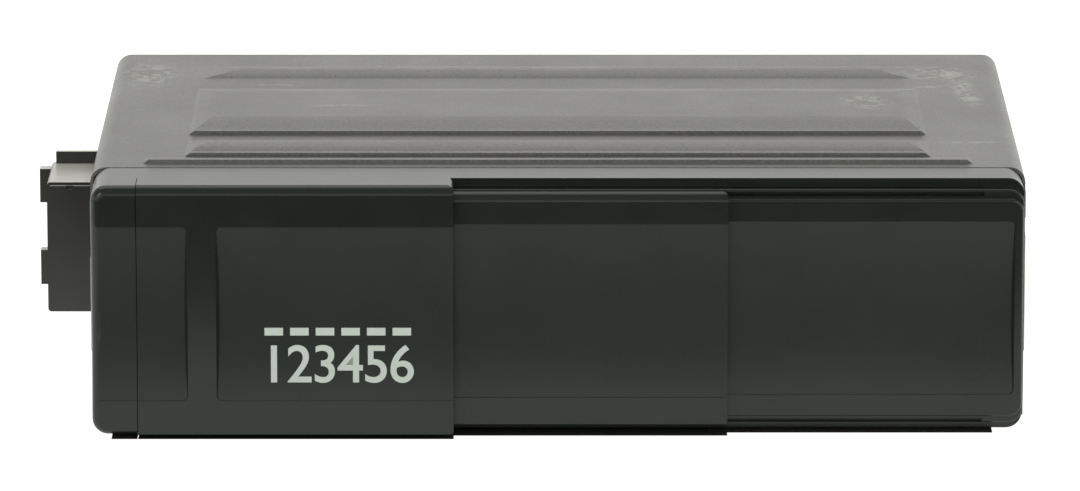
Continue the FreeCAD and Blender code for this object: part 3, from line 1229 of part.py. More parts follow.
def cam_slide(name, near, far):
    """Sheet slide with two slanted slots that lift the player's pins, and a rack along its top edge."""
    root = f"rack_pitch_z - {DEDENDUM} * rack_module"
    plate = box(("cam_left", "cam_right"), (near, far), ("cam_low", root))
    doc.recompute()
    start, end = plate.Shape.BoundBox.YMin, plate.Shape.BoundBox.YMax
    slots = []
    for pin in ("pin_left", "pin_right"):
        slots.append(slanted_slot(Vector(value(pin), start - 1, value("pin_z")),
                                  Vector(value(pin) - value("cam_run"), start - 1,
                                         value("pin_z") + value("lift_travel")), end - start + 2))
    holes = [ready_made("slanted slot", shape) for shape in slots]
    teeth = rack_teeth(value("shaft_x") - value("cam_run") - 9, value("cam_right"), value("shaft_x"), end - start)
    for tooth in teeth:
        tooth.translate(Vector(0, start, value("rack_pitch_z")))
    toothed = [ready_made("rack tooth", tooth) for tooth in teeth]
    return keep(name, join([cut(plate, holes)] + toothed))


def slanted_slot(start, end, depth):
    """A straight slot with round ends between two points of a plane facing Y."""
    half = value("slot_half")
    along = (end - start).normalize()
    side = Vector(-along.z, 0, along.x) * half
    out = Vector(0, depth, 0)
    web = Part.Face(Part.makePolygon([start + side, end + side, end - side, start - side, start + side])).extrude(out)
    caps = [Part.makeCylinder(half, depth, point, Vector(0, 1, 0)) for point in (start, end)]
    return web.fuse(caps)


def sync_shaft():
    ends = ("mid_y - cam_out - 1.5", "lift_gear_y + gear_width + 0.5")
    return keep("sync_shaft", rod("y", ("shaft_x", "shaft_z"), ends, "shaft_radius"))


def turned_gear(module, teeth, width, bore, toward, x, y):
    shape = gear(value(module), int(value(teeth)), width, bore, toward)
    shape.translate(Vector(x, y, value("shaft_z")))
    return shape


def rack_pinions():
    """Two pinions fixed on the synchronising shaft, over the front and the rear rack."""
    middle = value("mid_y")
    thickness = value("chassis_gauge") + 0.4
    places_y = (middle - value("cam_out") - 0.2, middle + value("cam_in") - 0.2)
    pinions = [turned_gear("rack_module", "rack_teeth", thickness, value("shaft_radius"), -math.pi / 2,
                           value("shaft_x"), y) for y in places_y]
    return keep("rack_pinions", ready_made("rack pinions", Part.makeCompound(pinions)))


def lift_gear():
    shape = turned_gear("gear_module", "gear_teeth", value("gear_width"), value("shaft_radius"), 0.0,
                        value("shaft_x"), value("lift_gear_y"))
    return keep("lift_gear", ready_made("lift gear", shape))


def motor_pinion():
    """Pinion on the lift motor's shaft: a gap between two teeth faces the lift gear."""
    teeth = int(value("pinion_teeth"))
    toward = math.pi + math.pi / teeth
    pinion = turned_gear("gear_module", "pinion_teeth", value("gear_width") + 0.4, 0.9, toward,
                         value("lift_motor_x"), value("lift_gear_y") - 0.2)
    axle = Part.makeCylinder(0.9, value("lift_motor_y") - value("lift_gear_y") + 6.2,
                             Vector(value("lift_motor_x"), value("lift_gear_y") - 0.2, value("shaft_z")),
                             Vector(0, 1, 0))
    return keep("motor_pinion", ready_made("motor pinion", pinion.fuse(axle)))


def lift_motor():
    centre = ("lift_motor_x", "shaft_z")
    can = rod("y", centre, ("lift_motor_y", "lift_motor_y + motor_length"), "motor_radius")
    flats = [box(("lift_motor_x - 9", "lift_motor_x + 9"), ("lift_motor_y - 1", "lift_motor_y + motor_length + 1"), z)
             for z in (("shelf_z", "shelf_z + 2"), ("shaft_z - motor_radius - 2", "shaft_z - motor_radius + motor_flat"))]
    boss = rod("y", centre, ("lift_motor_y - 0.9", "lift_motor_y"), 2.5)
    bore = rod("y", centre, ("lift_motor_y - 2", "lift_motor_y + 7"), "0.9 + run_play")
    return keep("lift_motor", cut(join([can, boss]), flats + [bore]))


# Player ---------------------------------------------------------------------------------------------------------

def play_deck():
    """Deck plate with front and rear flanges, the rods' tabs and the clamp arm's knuckles."""
    plate = box(("deck_left", "deck_right"), ("mid_y - deck_half", "mid_y + deck_half"), ("deck_z", "deck_top_z"))
    front = box(("deck_left", "deck_right"), ("mid_y - deck_half", "mid_y - deck_half + deck_gauge"),
                ("deck_z", "park_level + 2"))
    rear = box(("deck_left", "deck_right"), ("mid_y + deck_half - deck_gauge", "mid_y + deck_half"),
               ("deck_z", "hinge_z - knuckle + 0.5"))
    dip = box(("player_x - 7.2", "player_x + 7.2"), ("mid_y + deck_half - 3", "mid_y + deck_half + 3"),
              ("park_level + 2.4", "hinge_z + 5"))
    knuckles = [rod("x", ("hinge_y", "hinge_z"), (f"player_x + {low}", f"player_x + {high}"), "knuckle")
                for low, high in ((-11, -7.2), (7.2, 11))]
    bore = rod("x", ("hinge_y", "hinge_z"), ("player_x - 13", "player_x + 13"), "hinge_pin")
    tabs = []
    for side in (-1, 1):
        x = f"player_x + {side} * rod_half_pitch"
        for near, far in (("rod_y - deck_gauge", "rod_y"), ("rod_end_y", "rod_end_y + deck_gauge")):
            tabs.append(box((f"{x} - 2.3", f"{x} + 2.3"), (near, far), ("rod_z - 2.3", "deck_z + 0.1")))
    screw_tabs = [box(("feed_x - 5", "feed_x + 5"), ("rod_y - deck_gauge", "rod_y"), ("rod_z - 3.4", "deck_z + 0.1")),
                  box(("feed_x - 3", "feed_x + 3"), ("rod_end_y", "rod_end_y + deck_gauge"),
                      ("rod_z - 3", "deck_z + 0.1"))]
    bearings = rod("y", ("feed_x", "rod_z"), ("rod_y - 5", "rod_end_y + 5"), "rod_radius + run_play")
    cuts = [
        rod("z", ("player_x", "mid_y"), ("deck_z - 1", "deck_top_z + 1"), 4),
        box(("player_x - 8.5", "player_x + 8.5"), ("mid_y + turntable_radius + 2", "rod_end_y"),
            ("deck_z - 1", "deck_top_z + 1")),
        box(("feed_x - feed_radius - 0.4", "feed_x + feed_radius + 0.4"),
            ("rod_y - deck_gauge - feed_length - 0.5", "rod_y - deck_gauge"), ("deck_z - 1", "deck_top_z + 1")),
        box(("deck_left + 5", "deck_left + 17"), ("mid_y - 50", "mid_y + 52"), ("deck_z - 1", "deck_top_z + 1")),
        box(("deck_left + 23", "deck_right - 8"), ("mid_y - 52", "mid_y - 26"), ("deck_z - 1", "deck_top_z + 1")),
    ]
    body = cut(join([cut(plate, cuts), cut(rear, [dip]), front] + tabs + screw_tabs + knuckles), [bearings, bore])
    return keep("play_deck", body)


def lift_pins():
    pins = []
    for x in ("pin_left", "pin_right"):
        pins.append(rod("y", (x, "pin_z"), ("mid_y - cam_out - 0.6", "mid_y - deck_half"), "lift_pin"))
        pins.append(rod("y", (x, "pin_z"), ("mid_y + deck_half", "mid_y + cam_out + 0.6"), "lift_pin"))
    return keep("lift_pins", group(pins))


def spindle_motor():
    centre = ("player_x", "mid_y")
    can = rod("z", centre, ("deck_z - spindle_height", "deck_z"), "spindle_radius")
    sleeve = rod("z", centre, ("deck_z", "deck_top_z - 0.1"), 3)
    bore = rod("z", centre, ("deck_z - spindle_height + 1.2", "deck_top_z + 1"), "axle_radius + run_play")
    return keep("spindle_motor", cut(join([can, sleeve]), [bore]))


def turntable():
    centre = ("player_x", "mid_y")
    plate = rod("z", centre, ("park_level - 3.4", "park_level - disc_gauge / 2"), "turntable_radius")
    rim = cut(rod("z", centre, ("park_level - 1.2", "park_level"), "turntable_radius - 1"),
              [rod("z", centre, ("park_level - disc_gauge / 2", "park_level + 1"), "turntable_radius")])
    hub = cone("z", centre, ("park_level - 1", "park_level + 0.8"), "hub_radius", "hub_radius - 0.9")
    cup = rod("z", centre, ("park_level", "park_level + 2"), 3)
    axle = rod("z", centre, ("park_level - 11", "park_level - 3"), "axle_radius")
    return keep("turntable", join([cut(join([plate, rim, hub]), [cup]), axle]))


def optical_pickup():
    y = ("lens_y - sled_ahead", "lens_y + sled_behind")
    block = box(("player_x - rod_half_pitch - 2.5", "player_x + rod_half_pitch + 2.5"), y,
                ("rod_z - 2.5", "deck_z - 0.4"))
    raised = box(("player_x - 6", "player_x + 6"), ("lens_y - 5", "lens_y + sled_behind"),
                 ("deck_z - 0.5", "park_level - 3.6"))
    nut = box(("player_x + rod_half_pitch + 2", "feed_x + 2.4"), ("lens_y - 9", "lens_y - 5"),
              ("rod_z - 2.5", "deck_z - 0.4"))
    bores = [rod("y", (f"player_x + {side} * rod_half_pitch", "rod_z"), ("lens_y - 30", "lens_y + 30"),
                 "rod_radius + run_play") for side in (-1, 1)]
    bores.append(rod("y", ("feed_x", "rod_z"), ("lens_y - 30", "lens_y + 30"), "rod_radius + run_play"))
    return keep("optical_pickup", cut(join([block, raised, nut]), bores))


def pickup_lens():
    centre = ("player_x", "lens_y")
    barrel = rod("z", centre, ("park_level - 3.6", "park_level - 3"), 2.4)
    glass = cone("z", centre, ("park_level - 3", "park_level - 2.6"), 1.8, 1.2)
    return keep("pickup_lens", join([barrel, glass]))


def sled_rods():
    rods = [rod("y", (f"player_x + {side} * rod_half_pitch", "rod_z"), ("rod_y", "rod_end_y"), "rod_radius")
            for side in (-1, 1)]
    return keep("sled_rods", group(rods))


def feed_screw():
    """Feed screw, drawn with ring grooves at the thread's pitch."""
    centre = ("feed_x", "rod_z")
    core = rod("y", centre, ("rod_y - deck_gauge - 3", "rod_end_y + deck_gauge"), "rod_radius")
    rings = []
    for number in range(17):
        y = f"rod_y + 3 + {number} * 3"
        rings.append(cut(rod("y", centre, (y, f"{y} + 0.7"), "rod_radius + 1"),
                         [rod("y", centre, (f"{y} - 1", f"{y} + 2"), "rod_radius - 0.25")]))
    return keep("feed_screw", cut(core, rings))


def feed_motor():
    centre = ("feed_x", "rod_z")
    near, far = "rod_y - deck_gauge - feed_length", "rod_y - deck_gauge"
    can = rod("y", centre, (near, far), "feed_radius")
    bore = rod("y", centre, (f"{far} - 3.5", f"{far} + 1"), "rod_radius + run_play")
    return keep("feed_motor", cut(can, [bore]))


def clamp_arm():
    """Pressed arm that carries the clamp disc over the turntable."""
    z = ("arm_z", "arm_z + deck_gauge")
    blade = box(("player_x - arm_half", "player_x + arm_half"), ("mid_y", "hinge_y"), z)
    ring = rod("z", ("player_x", "mid_y"), z, "clamp_neck + 3.4")
    knuckle = rod("x", ("hinge_y", "hinge_z"), ("player_x - 6.9", "player_x + 6.9"), "knuckle")
    neck_hole = rod("z", ("player_x", "mid_y"), ("arm_z - 1", "arm_z + 3"), "clamp_neck + 0.1")
    pin_hole = rod("x", ("hinge_y", "hinge_z"), ("player_x - 9", "player_x + 9"), "hinge_pin + run_play")
    window = box(("player_x - 3", "player_x + 3"), ("mid_y + 18", "mid_y + 50"), ("arm_z - 1", "arm_z + 3"))
    return keep("clamp_arm", cut(join([blade, ring, knuckle]), [neck_hole, pin_hole, window]))


def clamp_pin():
    return keep("clamp_pin", rod("x", ("hinge_y", "hinge_z"), ("player_x - 11.5", "player_x + 11.5"), "hinge_pin"))


def clamp_disc():
    centre = ("player_x", "mid_y")
    pieces = [
        rod("z", centre, ("clamp_z", "arm_z - 0.3"), "clamp_radius"),
        rod("z", centre, ("arm_z - 0.4", "arm_z + deck_gauge + 0.3"), "clamp_neck"),
        rod("z", centre, ("arm_z + deck_gauge + 0.2", "arm_z + deck_gauge + 1"), "clamp_neck + 1.8"),
    ]
    return keep("clamp_disc", join(pieces))


# Electronics ----------------------------------------------------------------------------------------------------

def main_board():
    board = box(("bay_left + 3", "bay_right - 5"), ("mid_y - 60", "mid_y + 60"), ("board_z", "board_z + board_gauge"))
    return keep("main_board", board)


# Board parts: name of the shape is not needed, only its place on the board: x, y from the board's middle,
# then its size in X, Y and Z.
CHIPS = (
    (-38, 20, 14, 14, 1.8), (-8, 24, 20, 8, 2.0), (24, 18, 12, 12, 1.8), (-40, -24, 10, 16, 1.8),
    (40, -30, 9, 9, 1.6), (-52, 48, 9, 24, 5.5), (46, 44, 7, 20, 5.5), (4, -50, 30, 6, 5.0),
)
CANS = ((-14, -20, 4.0, 6.2), (-4, -20, 4.0, 6.2), (10, -14, 3.2, 5.4), (36, 0, 3.2, 5.4), (-20, 46, 4.0, 6.2))


def board_components():
    top = "board_z + board_gauge"
    middle_x = "(bay_left + bay_right) / 2 - 1"
    parts = [box((f"{middle_x} + {x - across / 2}", f"{middle_x} + {x + across / 2}"),
                 (f"mid_y + {y - deep / 2}", f"mid_y + {y + deep / 2}"), (top, f"{top} + {high}"))
             for x, y, across, deep, high in CHIPS]
    parts += [rod("z", (f"{middle_x} + {x}", f"mid_y + {y}"), (top, f"{top} + {high}"), radius)
              for x, y, radius, high in CANS]
    return keep("board_components", group(parts))


# Assembly -------------------------------------------------------------------------------------------------------

def build():
    bottom_case()
    top_cover()
    bezel_frame()
    left_end_cap()
    fixed_panel()
    slot_fascia()
    outer_door()
    middle_door()
    connector_housing()
    connector_cover()
    connector_pins()
    side_labels()
    cover_screws()
    bezel_screws()
    side_mount_nuts()
    angle_dial("angle_dial_left", -1)
    angle_dial("angle_dial_right", 1)
    mech_frame()
    oil_dampers()
    suspension_springs()
    magazine_bay()
    magazine_body()
    magazine_top()
    for number in range(6):
        disc_tray(number)
        disc(number)
    eject_button()
    eject_switch()
    eject_lever()
    eject_pivot()
    play_deck()
    lift_pins()
    spindle_motor()
    turntable()
    optical_pickup()
    pickup_lens()
    sled_rods()
    feed_screw()
    feed_motor()
    clamp_arm()
    clamp_disc()
    clamp_pin()
    cam_slide("front_cam_slide", "mid_y - cam_out", "mid_y - cam_in")
    cam_slide("rear_cam_slide", "mid_y + cam_in", "mid_y + cam_out")
    sync_shaft()
    rack_pinions()
    lift_gear()
    motor_pinion()
    lift_motor()
    main_board()
    board_components()


def check():
    """Stops before anything is written if an object failed or a sub-part is not sound."""
    for item in doc.Objects:
        if "Invalid" in item.State or "Error" in item.State:
            raise RuntimeError(f"{item.Label} failed: {item.State}")
    for node in nodes:
        if node.Shape.isNull() or not node.Shape.isValid() or not node.Shape.Solids:
            raise RuntimeError(f"{node.Label} has no sound solid")
    if len({node.Label for node in nodes}) != len(nodes):
        raise RuntimeError("two sub-parts share a label")


def export():
    os.makedirs("parts", exist_ok=True)
    for node in nodes:
        node.Shape.exportStep(f"parts/{node.Label}.step")
        print(f"{node.Label}: {len(node.Shape.Solids)} solid(s), {node.Shape.Volume:.0f} mm3")


sheet = make_sheet()
places = make_places()
build()
doc.recompute()
check()
export()
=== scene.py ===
# %% [markdown]
# # A car CD changer
# This lesson dresses a finished construction in real-looking finishes. The construction is the changer as
# it is built: a folded steel case, a moulded front with two sliding doors, a magazine of six trays and a
# small lifting player. Blender adds what a drawing leaves out: paint, moulding grain, plating, print and
# light. Everything is in metres, in the construction's own frame: X to the right, Y to the rear, Z up.

import json
import math

import bmesh
import bpy
from mathutils import Matrix, Vector


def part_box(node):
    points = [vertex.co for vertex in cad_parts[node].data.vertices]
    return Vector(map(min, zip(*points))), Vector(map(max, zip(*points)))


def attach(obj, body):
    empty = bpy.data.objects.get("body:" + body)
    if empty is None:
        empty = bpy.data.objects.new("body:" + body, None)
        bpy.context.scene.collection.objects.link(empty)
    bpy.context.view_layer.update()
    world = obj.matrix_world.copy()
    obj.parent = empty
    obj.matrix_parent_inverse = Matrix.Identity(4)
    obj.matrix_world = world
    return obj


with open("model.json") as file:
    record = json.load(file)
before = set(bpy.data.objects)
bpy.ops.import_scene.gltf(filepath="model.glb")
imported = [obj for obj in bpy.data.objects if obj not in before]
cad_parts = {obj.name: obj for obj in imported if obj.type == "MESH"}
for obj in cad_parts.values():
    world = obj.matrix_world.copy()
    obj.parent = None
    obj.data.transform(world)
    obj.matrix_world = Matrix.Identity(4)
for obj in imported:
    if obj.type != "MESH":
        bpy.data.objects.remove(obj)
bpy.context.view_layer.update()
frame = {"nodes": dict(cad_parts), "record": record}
nodes = frame["nodes"]

# %% [markdown]
# ## Colours and sizes
# Paint charts and screens give colours as sRGB hex values, while a renderer adds up light, so each colour
# is turned to linear once, here. Real grains and threads are measured in millimetres, so a second function
# turns the size of one grain into the scale that a pattern needs when it reads places in metres.

# %% Colours and grain sizes
MM = 0.001


def linear(hex_value):
    """The linear RGBA of an sRGB hex colour."""
    channels = [int(hex_value[start:start + 2], 16) / 255 for start in (1, 3, 5)]
    return [c / 12.92 if c <= 0.04045 else ((c + 0.055) / 1.055) ** 2.4 for c in channels] + [1.0]


def grain(size_mm):
    """The pattern scale whose features are about this many millimetres across."""
    return 1.0 / (size_mm * MM)


print("a 0.5 mm grain has scale", grain(0.5))

# %% [markdown]
# ## Adding nodes
# A procedural finish is a small graph of nodes. One function adds a node with its settings and links, so
# that a graph reads from top to bottom like a recipe. A choice in capitals feeds a socket, and may be a
# number, a hex colour, another node or one of its outputs. Any other choice is a setting of the node
# itself.

# %% One function for every node
def add(tree, kind, **choices):
    """Adds a shader node to a tree, with its settings and the values and links of its sockets."""
    node = tree.nodes.new("ShaderNode" + kind)
    for name, choice in choices.items():
        if name[0].islower():
            setattr(node, name, choice)
    sockets = {socket.identifier.replace(" ", "_"): socket for socket in node.inputs}
    for name, choice in choices.items():
        if name[0].islower():
            continue
        if isinstance(choice, bpy.types.Node):
            choice = [output for output in choice.outputs if output.enabled][0]
        if isinstance(choice, bpy.types.NodeSocket):
            tree.links.new(choice, sockets[name])
        else:
            sockets[name].default_value = linear(choice) if isinstance(choice, str) else choice
    return node


def new_finish(name):
    """A new material with an empty graph, and the place on the object that its patterns start from."""
    material = bpy.data.materials.new(name)
    material.use_nodes = True
    tree = material.node_tree
    tree.nodes.clear()
    return material, tree, add(tree, "TexCoord").outputs["Object"]


print("one function adds every node")

# %% [markdown]
# ## The studio
# The changer stands on a light table, as small goods do for a shop's catalogue: a sheet of opal acrylic lit
# from below, which stays white right up to the line of contact under the front. That dark line is a painted
# contact shadow: dark sheets cut to the pieces' footprints lie on the acrylic under the changer. The acrylic
# and these painted shadow sheets lie a hair below the changer, and both are clear from below, so a look from
# there shows the underside. The room gives the rest. A lit backdrop stands behind, so the flat of the cover,
# seen at a shallow angle, shines with it. The ceiling and the front of the room are dimmer, so whatever tilts
# towards the eye turns darker and the pressed shapes read.

# %% Floor
def flat_sheet(name, low, high, z):
    """A flat rectangle at one height, part of the studio and not of the object."""
    mesh = bpy.data.meshes.new(name)
    corners = [(low[0], low[1], z), (high[0], low[1], z), (high[0], high[1], z), (low[0], high[1], z)]
    mesh.from_pydata(corners, [], [(0, 1, 2, 3)])
    sheet = bpy.data.objects.new(name, mesh)
    bpy.context.scene.collection.objects.link(sheet)
    return sheet


FLOOR_HALF = 6.0
FLOOR_Z, SHADOW_SHEET_Z = -0.0002, -0.0001
SHADOW_SHEET_LEFT, SHADOW_SHEET_RIGHT = -0.1255, 0.1225  # both stop short of the rounded corners of the front


def one_sided(tree, shader):
    """Ends a graph whose sheet shows from above only, so that the underside can be looked at through it."""
    below = add(tree, "NewGeometry").outputs["Backfacing"]
    clear = add(tree, "BsdfTransparent")
    add(tree, "OutputMaterial", Surface=add(tree, "MixShader", Fac=below, Shader=shader, Shader_001=clear))


# Opal acrylic: a matt skin that glows evenly, with a cloud too faint to notice as a pattern.
floor = flat_sheet("studio_floor", (-FLOOR_HALF, -FLOOR_HALF), (FLOOR_HALF, FLOOR_HALF), FLOOR_Z)
opal, tree, spot = new_finish("opal_acrylic_sheet")
cloud = add(tree, "TexNoise", Vector=spot, Scale=grain(40), Detail=2.0)
white = add(tree, "Mix", data_type="RGBA", Factor_Float=cloud, A_Color="#8e8f8d", B_Color="#929391")
shader = add(tree, "BsdfPrincipled", Base_Color=white, Roughness=0.85, Specular_IOR_Level=0.2,
             Emission_Color="#fffffc", Emission_Strength=1.0)
one_sided(tree, shader)
floor.data.materials.append(opal)

# Painted contact shadow: a dark grey sheet under each outer piece, cut to the rectangle it covers, hides the
# glowing acrylic there and paints the shade beneath the changer.
painted_shadow, tree, spot = new_finish("black_paper")
shadow_speckle = add(tree, "TexNoise", Vector=spot, Scale=grain(1.5), Detail=3.0)
# the dark grey with a faint speckle is the painted contact shadow
black = add(tree, "Mix", data_type="RGBA", Factor_Float=shadow_speckle, A_Color="#3a3b39", B_Color="#444543")
shader = add(tree, "BsdfPrincipled", Base_Color=black, Roughness=0.9, Specular_IOR_Level=0.1)
one_sided(tree, shader)
for name in ("left_end_cap", "outer_door", "middle_door", "fixed_panel", "bezel_frame", "bottom_case"):
    low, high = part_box(name)
    left, right = max(low.x, SHADOW_SHEET_LEFT), min(high.x, SHADOW_SHEET_RIGHT)
    sheet = flat_sheet("paper_under_" + name, (left, low.y), (right, high.y), SHADOW_SHEET_Z)
    sheet.data.materials.append(painted_shadow)
print("floor", [round(side) for side in floor.dimensions[:2]], "m")

# %% White room
world = bpy.data.worlds.new("white_room")
bpy.context.scene.world = world
world.use_nodes = True
tree = world.node_tree
tree.nodes.clear()
# A direction's Z is the sine of its height over the horizon, and its Y says how far it looks rearward.
direction = add(tree, "SeparateXYZ", Vector=add(tree, "TexCoord").outputs["Generated"]).outputs
behind = add(tree, "MapRange", interpolation_type="SMOOTHSTEP", Value=direction["Z"],
             From_Min=0.26, From_Max=0.56, To_Min=1.28, To_Max=0.5)
ahead = add(tree, "MapRange", interpolation_type="SMOOTHSTEP", Value=direction["Z"],
            From_Min=0.06, From_Max=0.24, To_Min=1.9, To_Max=0.42)
rearward = add(tree, "MapRange", interpolation_type="SMOOTHSTEP", Value=direction["Y"],
               From_Min=-0.2, From_Max=0.2)
glow = add(tree, "Mix", Factor_Float=rearward, A_Float=ahead, B_Float=behind)
room = add(tree, "Background", Color="#fffefb", Strength=glow)
backdrop = add(tree, "Background", Color="#fefffd", Strength=1.0)
seen = add(tree, "LightPath").outputs["Is Camera Ray"]
add(tree, "OutputWorld", Surface=add(tree, "MixShader", Fac=seen, Shader=room, Shader_001=backdrop))
bpy.context.scene.view_settings.view_transform = "Standard"
print("world", world.name)

# %% [markdown]
# ## Lamps and a reflecting card
# A wide soft box hangs over the changer, a little behind it, so that the pressed beads of the cover catch
# light on their tops and fall dark on their fronts. Two small ones stand left and right in front. They are
# seen only in reflections, where they draw the bright spots on the rounded corners. Glossy black plastic
# shows mostly what it mirrors. A dark card lies in front of the changer, as studios lay one, so that the
# upper part of the front turns deep black. It too is seen only in reflections.

# %% Soft boxes and card
LAMPS = (  # name, place in metres, width, height, watts, whether it lights matt surfaces
    ("soft_box_over", (0.0, 0.45, 1.3), 1.8, 0.9, 7.0, True),
    ("soft_box_left", (-0.75, -0.95, 0.55), 0.16, 0.16, 2.0, False),
    ("soft_box_right", (0.75, -0.95, 0.55), 0.16, 0.16, 2.0, False),
)
LAMP_AIM = Vector((0, 0, 0.04))
for name, place, width, height, watts, lights_matt in LAMPS:
    lamp = bpy.data.lights.new(name, "AREA")
    lamp.shape = "RECTANGLE"
    lamp.size, lamp.size_y = width, height
    lamp.energy = watts
    soft_box = bpy.data.objects.new(name, lamp)
    soft_box.location = place
    soft_box.rotation_euler = (LAMP_AIM - soft_box.location).to_track_quat("-Z", "Y").to_euler()
    soft_box.visible_diffuse = lights_matt
    bpy.context.scene.collection.objects.link(soft_box)

CARD_GAP, CARD_END = 0.126, 2.6  # from the door to the card's two ends
CARD_HALF, CARD_Z = 1.5, 0.0006  # half its width, and how high it lies
front_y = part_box("outer_door")[0].y
card = flat_sheet("dark_card", (-CARD_HALF, front_y - CARD_END), (CARD_HALF, front_y - CARD_GAP), CARD_Z)
felt, tree = new_finish("dark_felt")[:2]
shader = add(tree, "BsdfPrincipled", Base_Color="#1c1e1c", Roughness=0.9, Specular_IOR_Level=0.1)
add(tree, "OutputMaterial", Surface=shader)
card.data.materials.append(felt)
for ray in ("visible_camera", "visible_diffuse", "visible_transmission", "visible_shadow"):
    setattr(card, ray, False)
print(len(LAMPS), "lamps; the card starts", round(CARD_GAP / MM), "mm in front of the door")

# %% [markdown]
# ## The camera
# A long lens from almost straight ahead, about 13 degrees above, keeps the front nearly free of
# perspective, as catalogue pictures do.

# %% Camera
LENS_MM, LOOKS_DOWN = 284.1, 12.870  # the second in degrees
CAMERA_PLACE = (-0.00503, -2.41547, 0.58659)
camera_data = bpy.data.cameras.new("catalogue_lens")
camera_data.sensor_width = 36.0
camera_data.lens = LENS_MM
camera = bpy.data.objects.new("catalogue_camera", camera_data)
camera.location = CAMERA_PLACE
camera.rotation_euler = (math.radians(90 - LOOKS_DOWN), 0.0, 0.0)
bpy.context.scene.collection.objects.link(camera)
bpy.context.scene.camera = camera
print("lens", camera_data.lens, "mm")

# %% [markdown]
# ## Crinkle enamel on the cover
# The cover is steel sheet under a dark grey crinkle enamel, a stoved paint that wrinkles into a fine grain
# as it dries and hides pressing marks. The eye sees a satin sheen broken into fine speckle. The wrinkles
# are about a quarter of a millimetre apart, and are drawn at 0.6 mm because finer ones would be lost. Years
# in a car boot leave rubbed patches and thin scratches, where the paint is broken and shows pale.

# %% Rub marks
RUBS = (  # centre x, centre y, half length, half width in mm, turn in degrees
    (-121, 62, 12, 24, 0), (112, 64, 18, 14, -20), (120, 38, 5, 32, 5), (-83, 47.5, 9, 0.9, -6),
    (-62, 9, 14, 2.2, 3), (-72, 36, 16, 1.6, -4), (96, 30, 14, 1.6, 8), (90, 14, 10, 16, 15),
    (114, 45, 12, 2.0, 4), (118, -33, 13, 1.5, 2),
)


def rub_marks(tree, spot):
    """A grey pattern that is 1 in the middle of each rub mark and 0 away from them."""
    strongest = 0.0
    for x, y, half_long, half_wide, turn in RUBS:
        local = add(tree, "Mapping", vector_type="TEXTURE", Vector=spot, Location=(x * MM, y * MM, 0),
                    Rotation=(0, 0, math.radians(turn)), Scale=(half_long * MM, half_wide * MM, 1))
        flat = add(tree, "VectorMath", operation="MULTIPLY", Vector=local, Vector_001=(1, 1, 0))
        reach = add(tree, "VectorMath", operation="LENGTH", Vector=flat)
        mark = add(tree, "MapRange", interpolation_type="SMOOTHSTEP", Value=reach,
                   From_Min=0.2, From_Max=1.0, To_Min=1.0, To_Max=0.0)
        strongest = add(tree, "Math", operation="MAXIMUM", Value=mark, Value_001=strongest)
    return strongest


print(len(RUBS), "rub marks")

# %% Crinkle enamel
enamel, tree, spot = new_finish("crinkle_enamel_dark_grey")
wrinkles = add(tree, "TexNoise", Vector=spot, Scale=grain(0.6), Detail=3.0, Roughness=0.6)
cloud = add(tree, "TexNoise", Vector=spot, Scale=grain(26), Detail=5.0, Roughness=0.62)
patchy = add(tree, "TexNoise", Vector=spot, Scale=grain(5), Detail=7.0, Roughness=0.72, Distortion=1.2)
share = add(tree, "MapRange", Value=cloud, From_Min=0.35, From_Max=0.65)
paint = add(tree, "Mix", data_type="RGBA", Factor_Float=share, A_Color="#42423d", B_Color="#4d4d47")
share = add(tree, "MapRange", Value=wrinkles, From_Min=0.35, From_Max=0.7)
paint = add(tree, "Mix", data_type="RGBA", Factor_Float=share, A_Color=paint, B_Color="#6c6c66")
broken = add(tree, "MapRange", Value=patchy, From_Min=0.45, From_Max=0.60)
worn = add(tree, "Math", operation="MULTIPLY", Value=rub_marks(tree, spot), Value_001=broken)
paint = add(tree, "Mix", data_type="RGBA", Factor_Float=worn, A_Color=paint, B_Color="#96958f")
sheen = add(tree, "MapRange", Value=cloud, From_Min=0.3, From_Max=0.7, To_Min=0.34, To_Max=0.42)
relief = add(tree, "Bump", Height=wrinkles, Distance=0.20 * MM, Strength=0.8)
shader = add(tree, "BsdfPrincipled", Base_Color=paint, Roughness=sheen, IOR=1.7, Normal=relief)
add(tree, "OutputMaterial", Surface=shader)
finishes = {"cover_paint": enamel}
print(enamel.name, len(tree.nodes), "nodes")

# %% [markdown]
# ## Moulded plastics
# Each plastic piece comes out of a steel mould whose skin was spark-eroded, which leaves an even fine grain
# and a soft gloss. Black plastic has a very dark colour of its own, and what the eye reads is its gloss, so
# the roughness carries the detail: handling and wiping leave it faintly cloudy. The same recipe serves each
# resin, with its own colours, gloss and IOR. The real pits are about a tenth of a millimetre across, and
# are drawn at 0.4 mm and more, because finer ones would be lost.

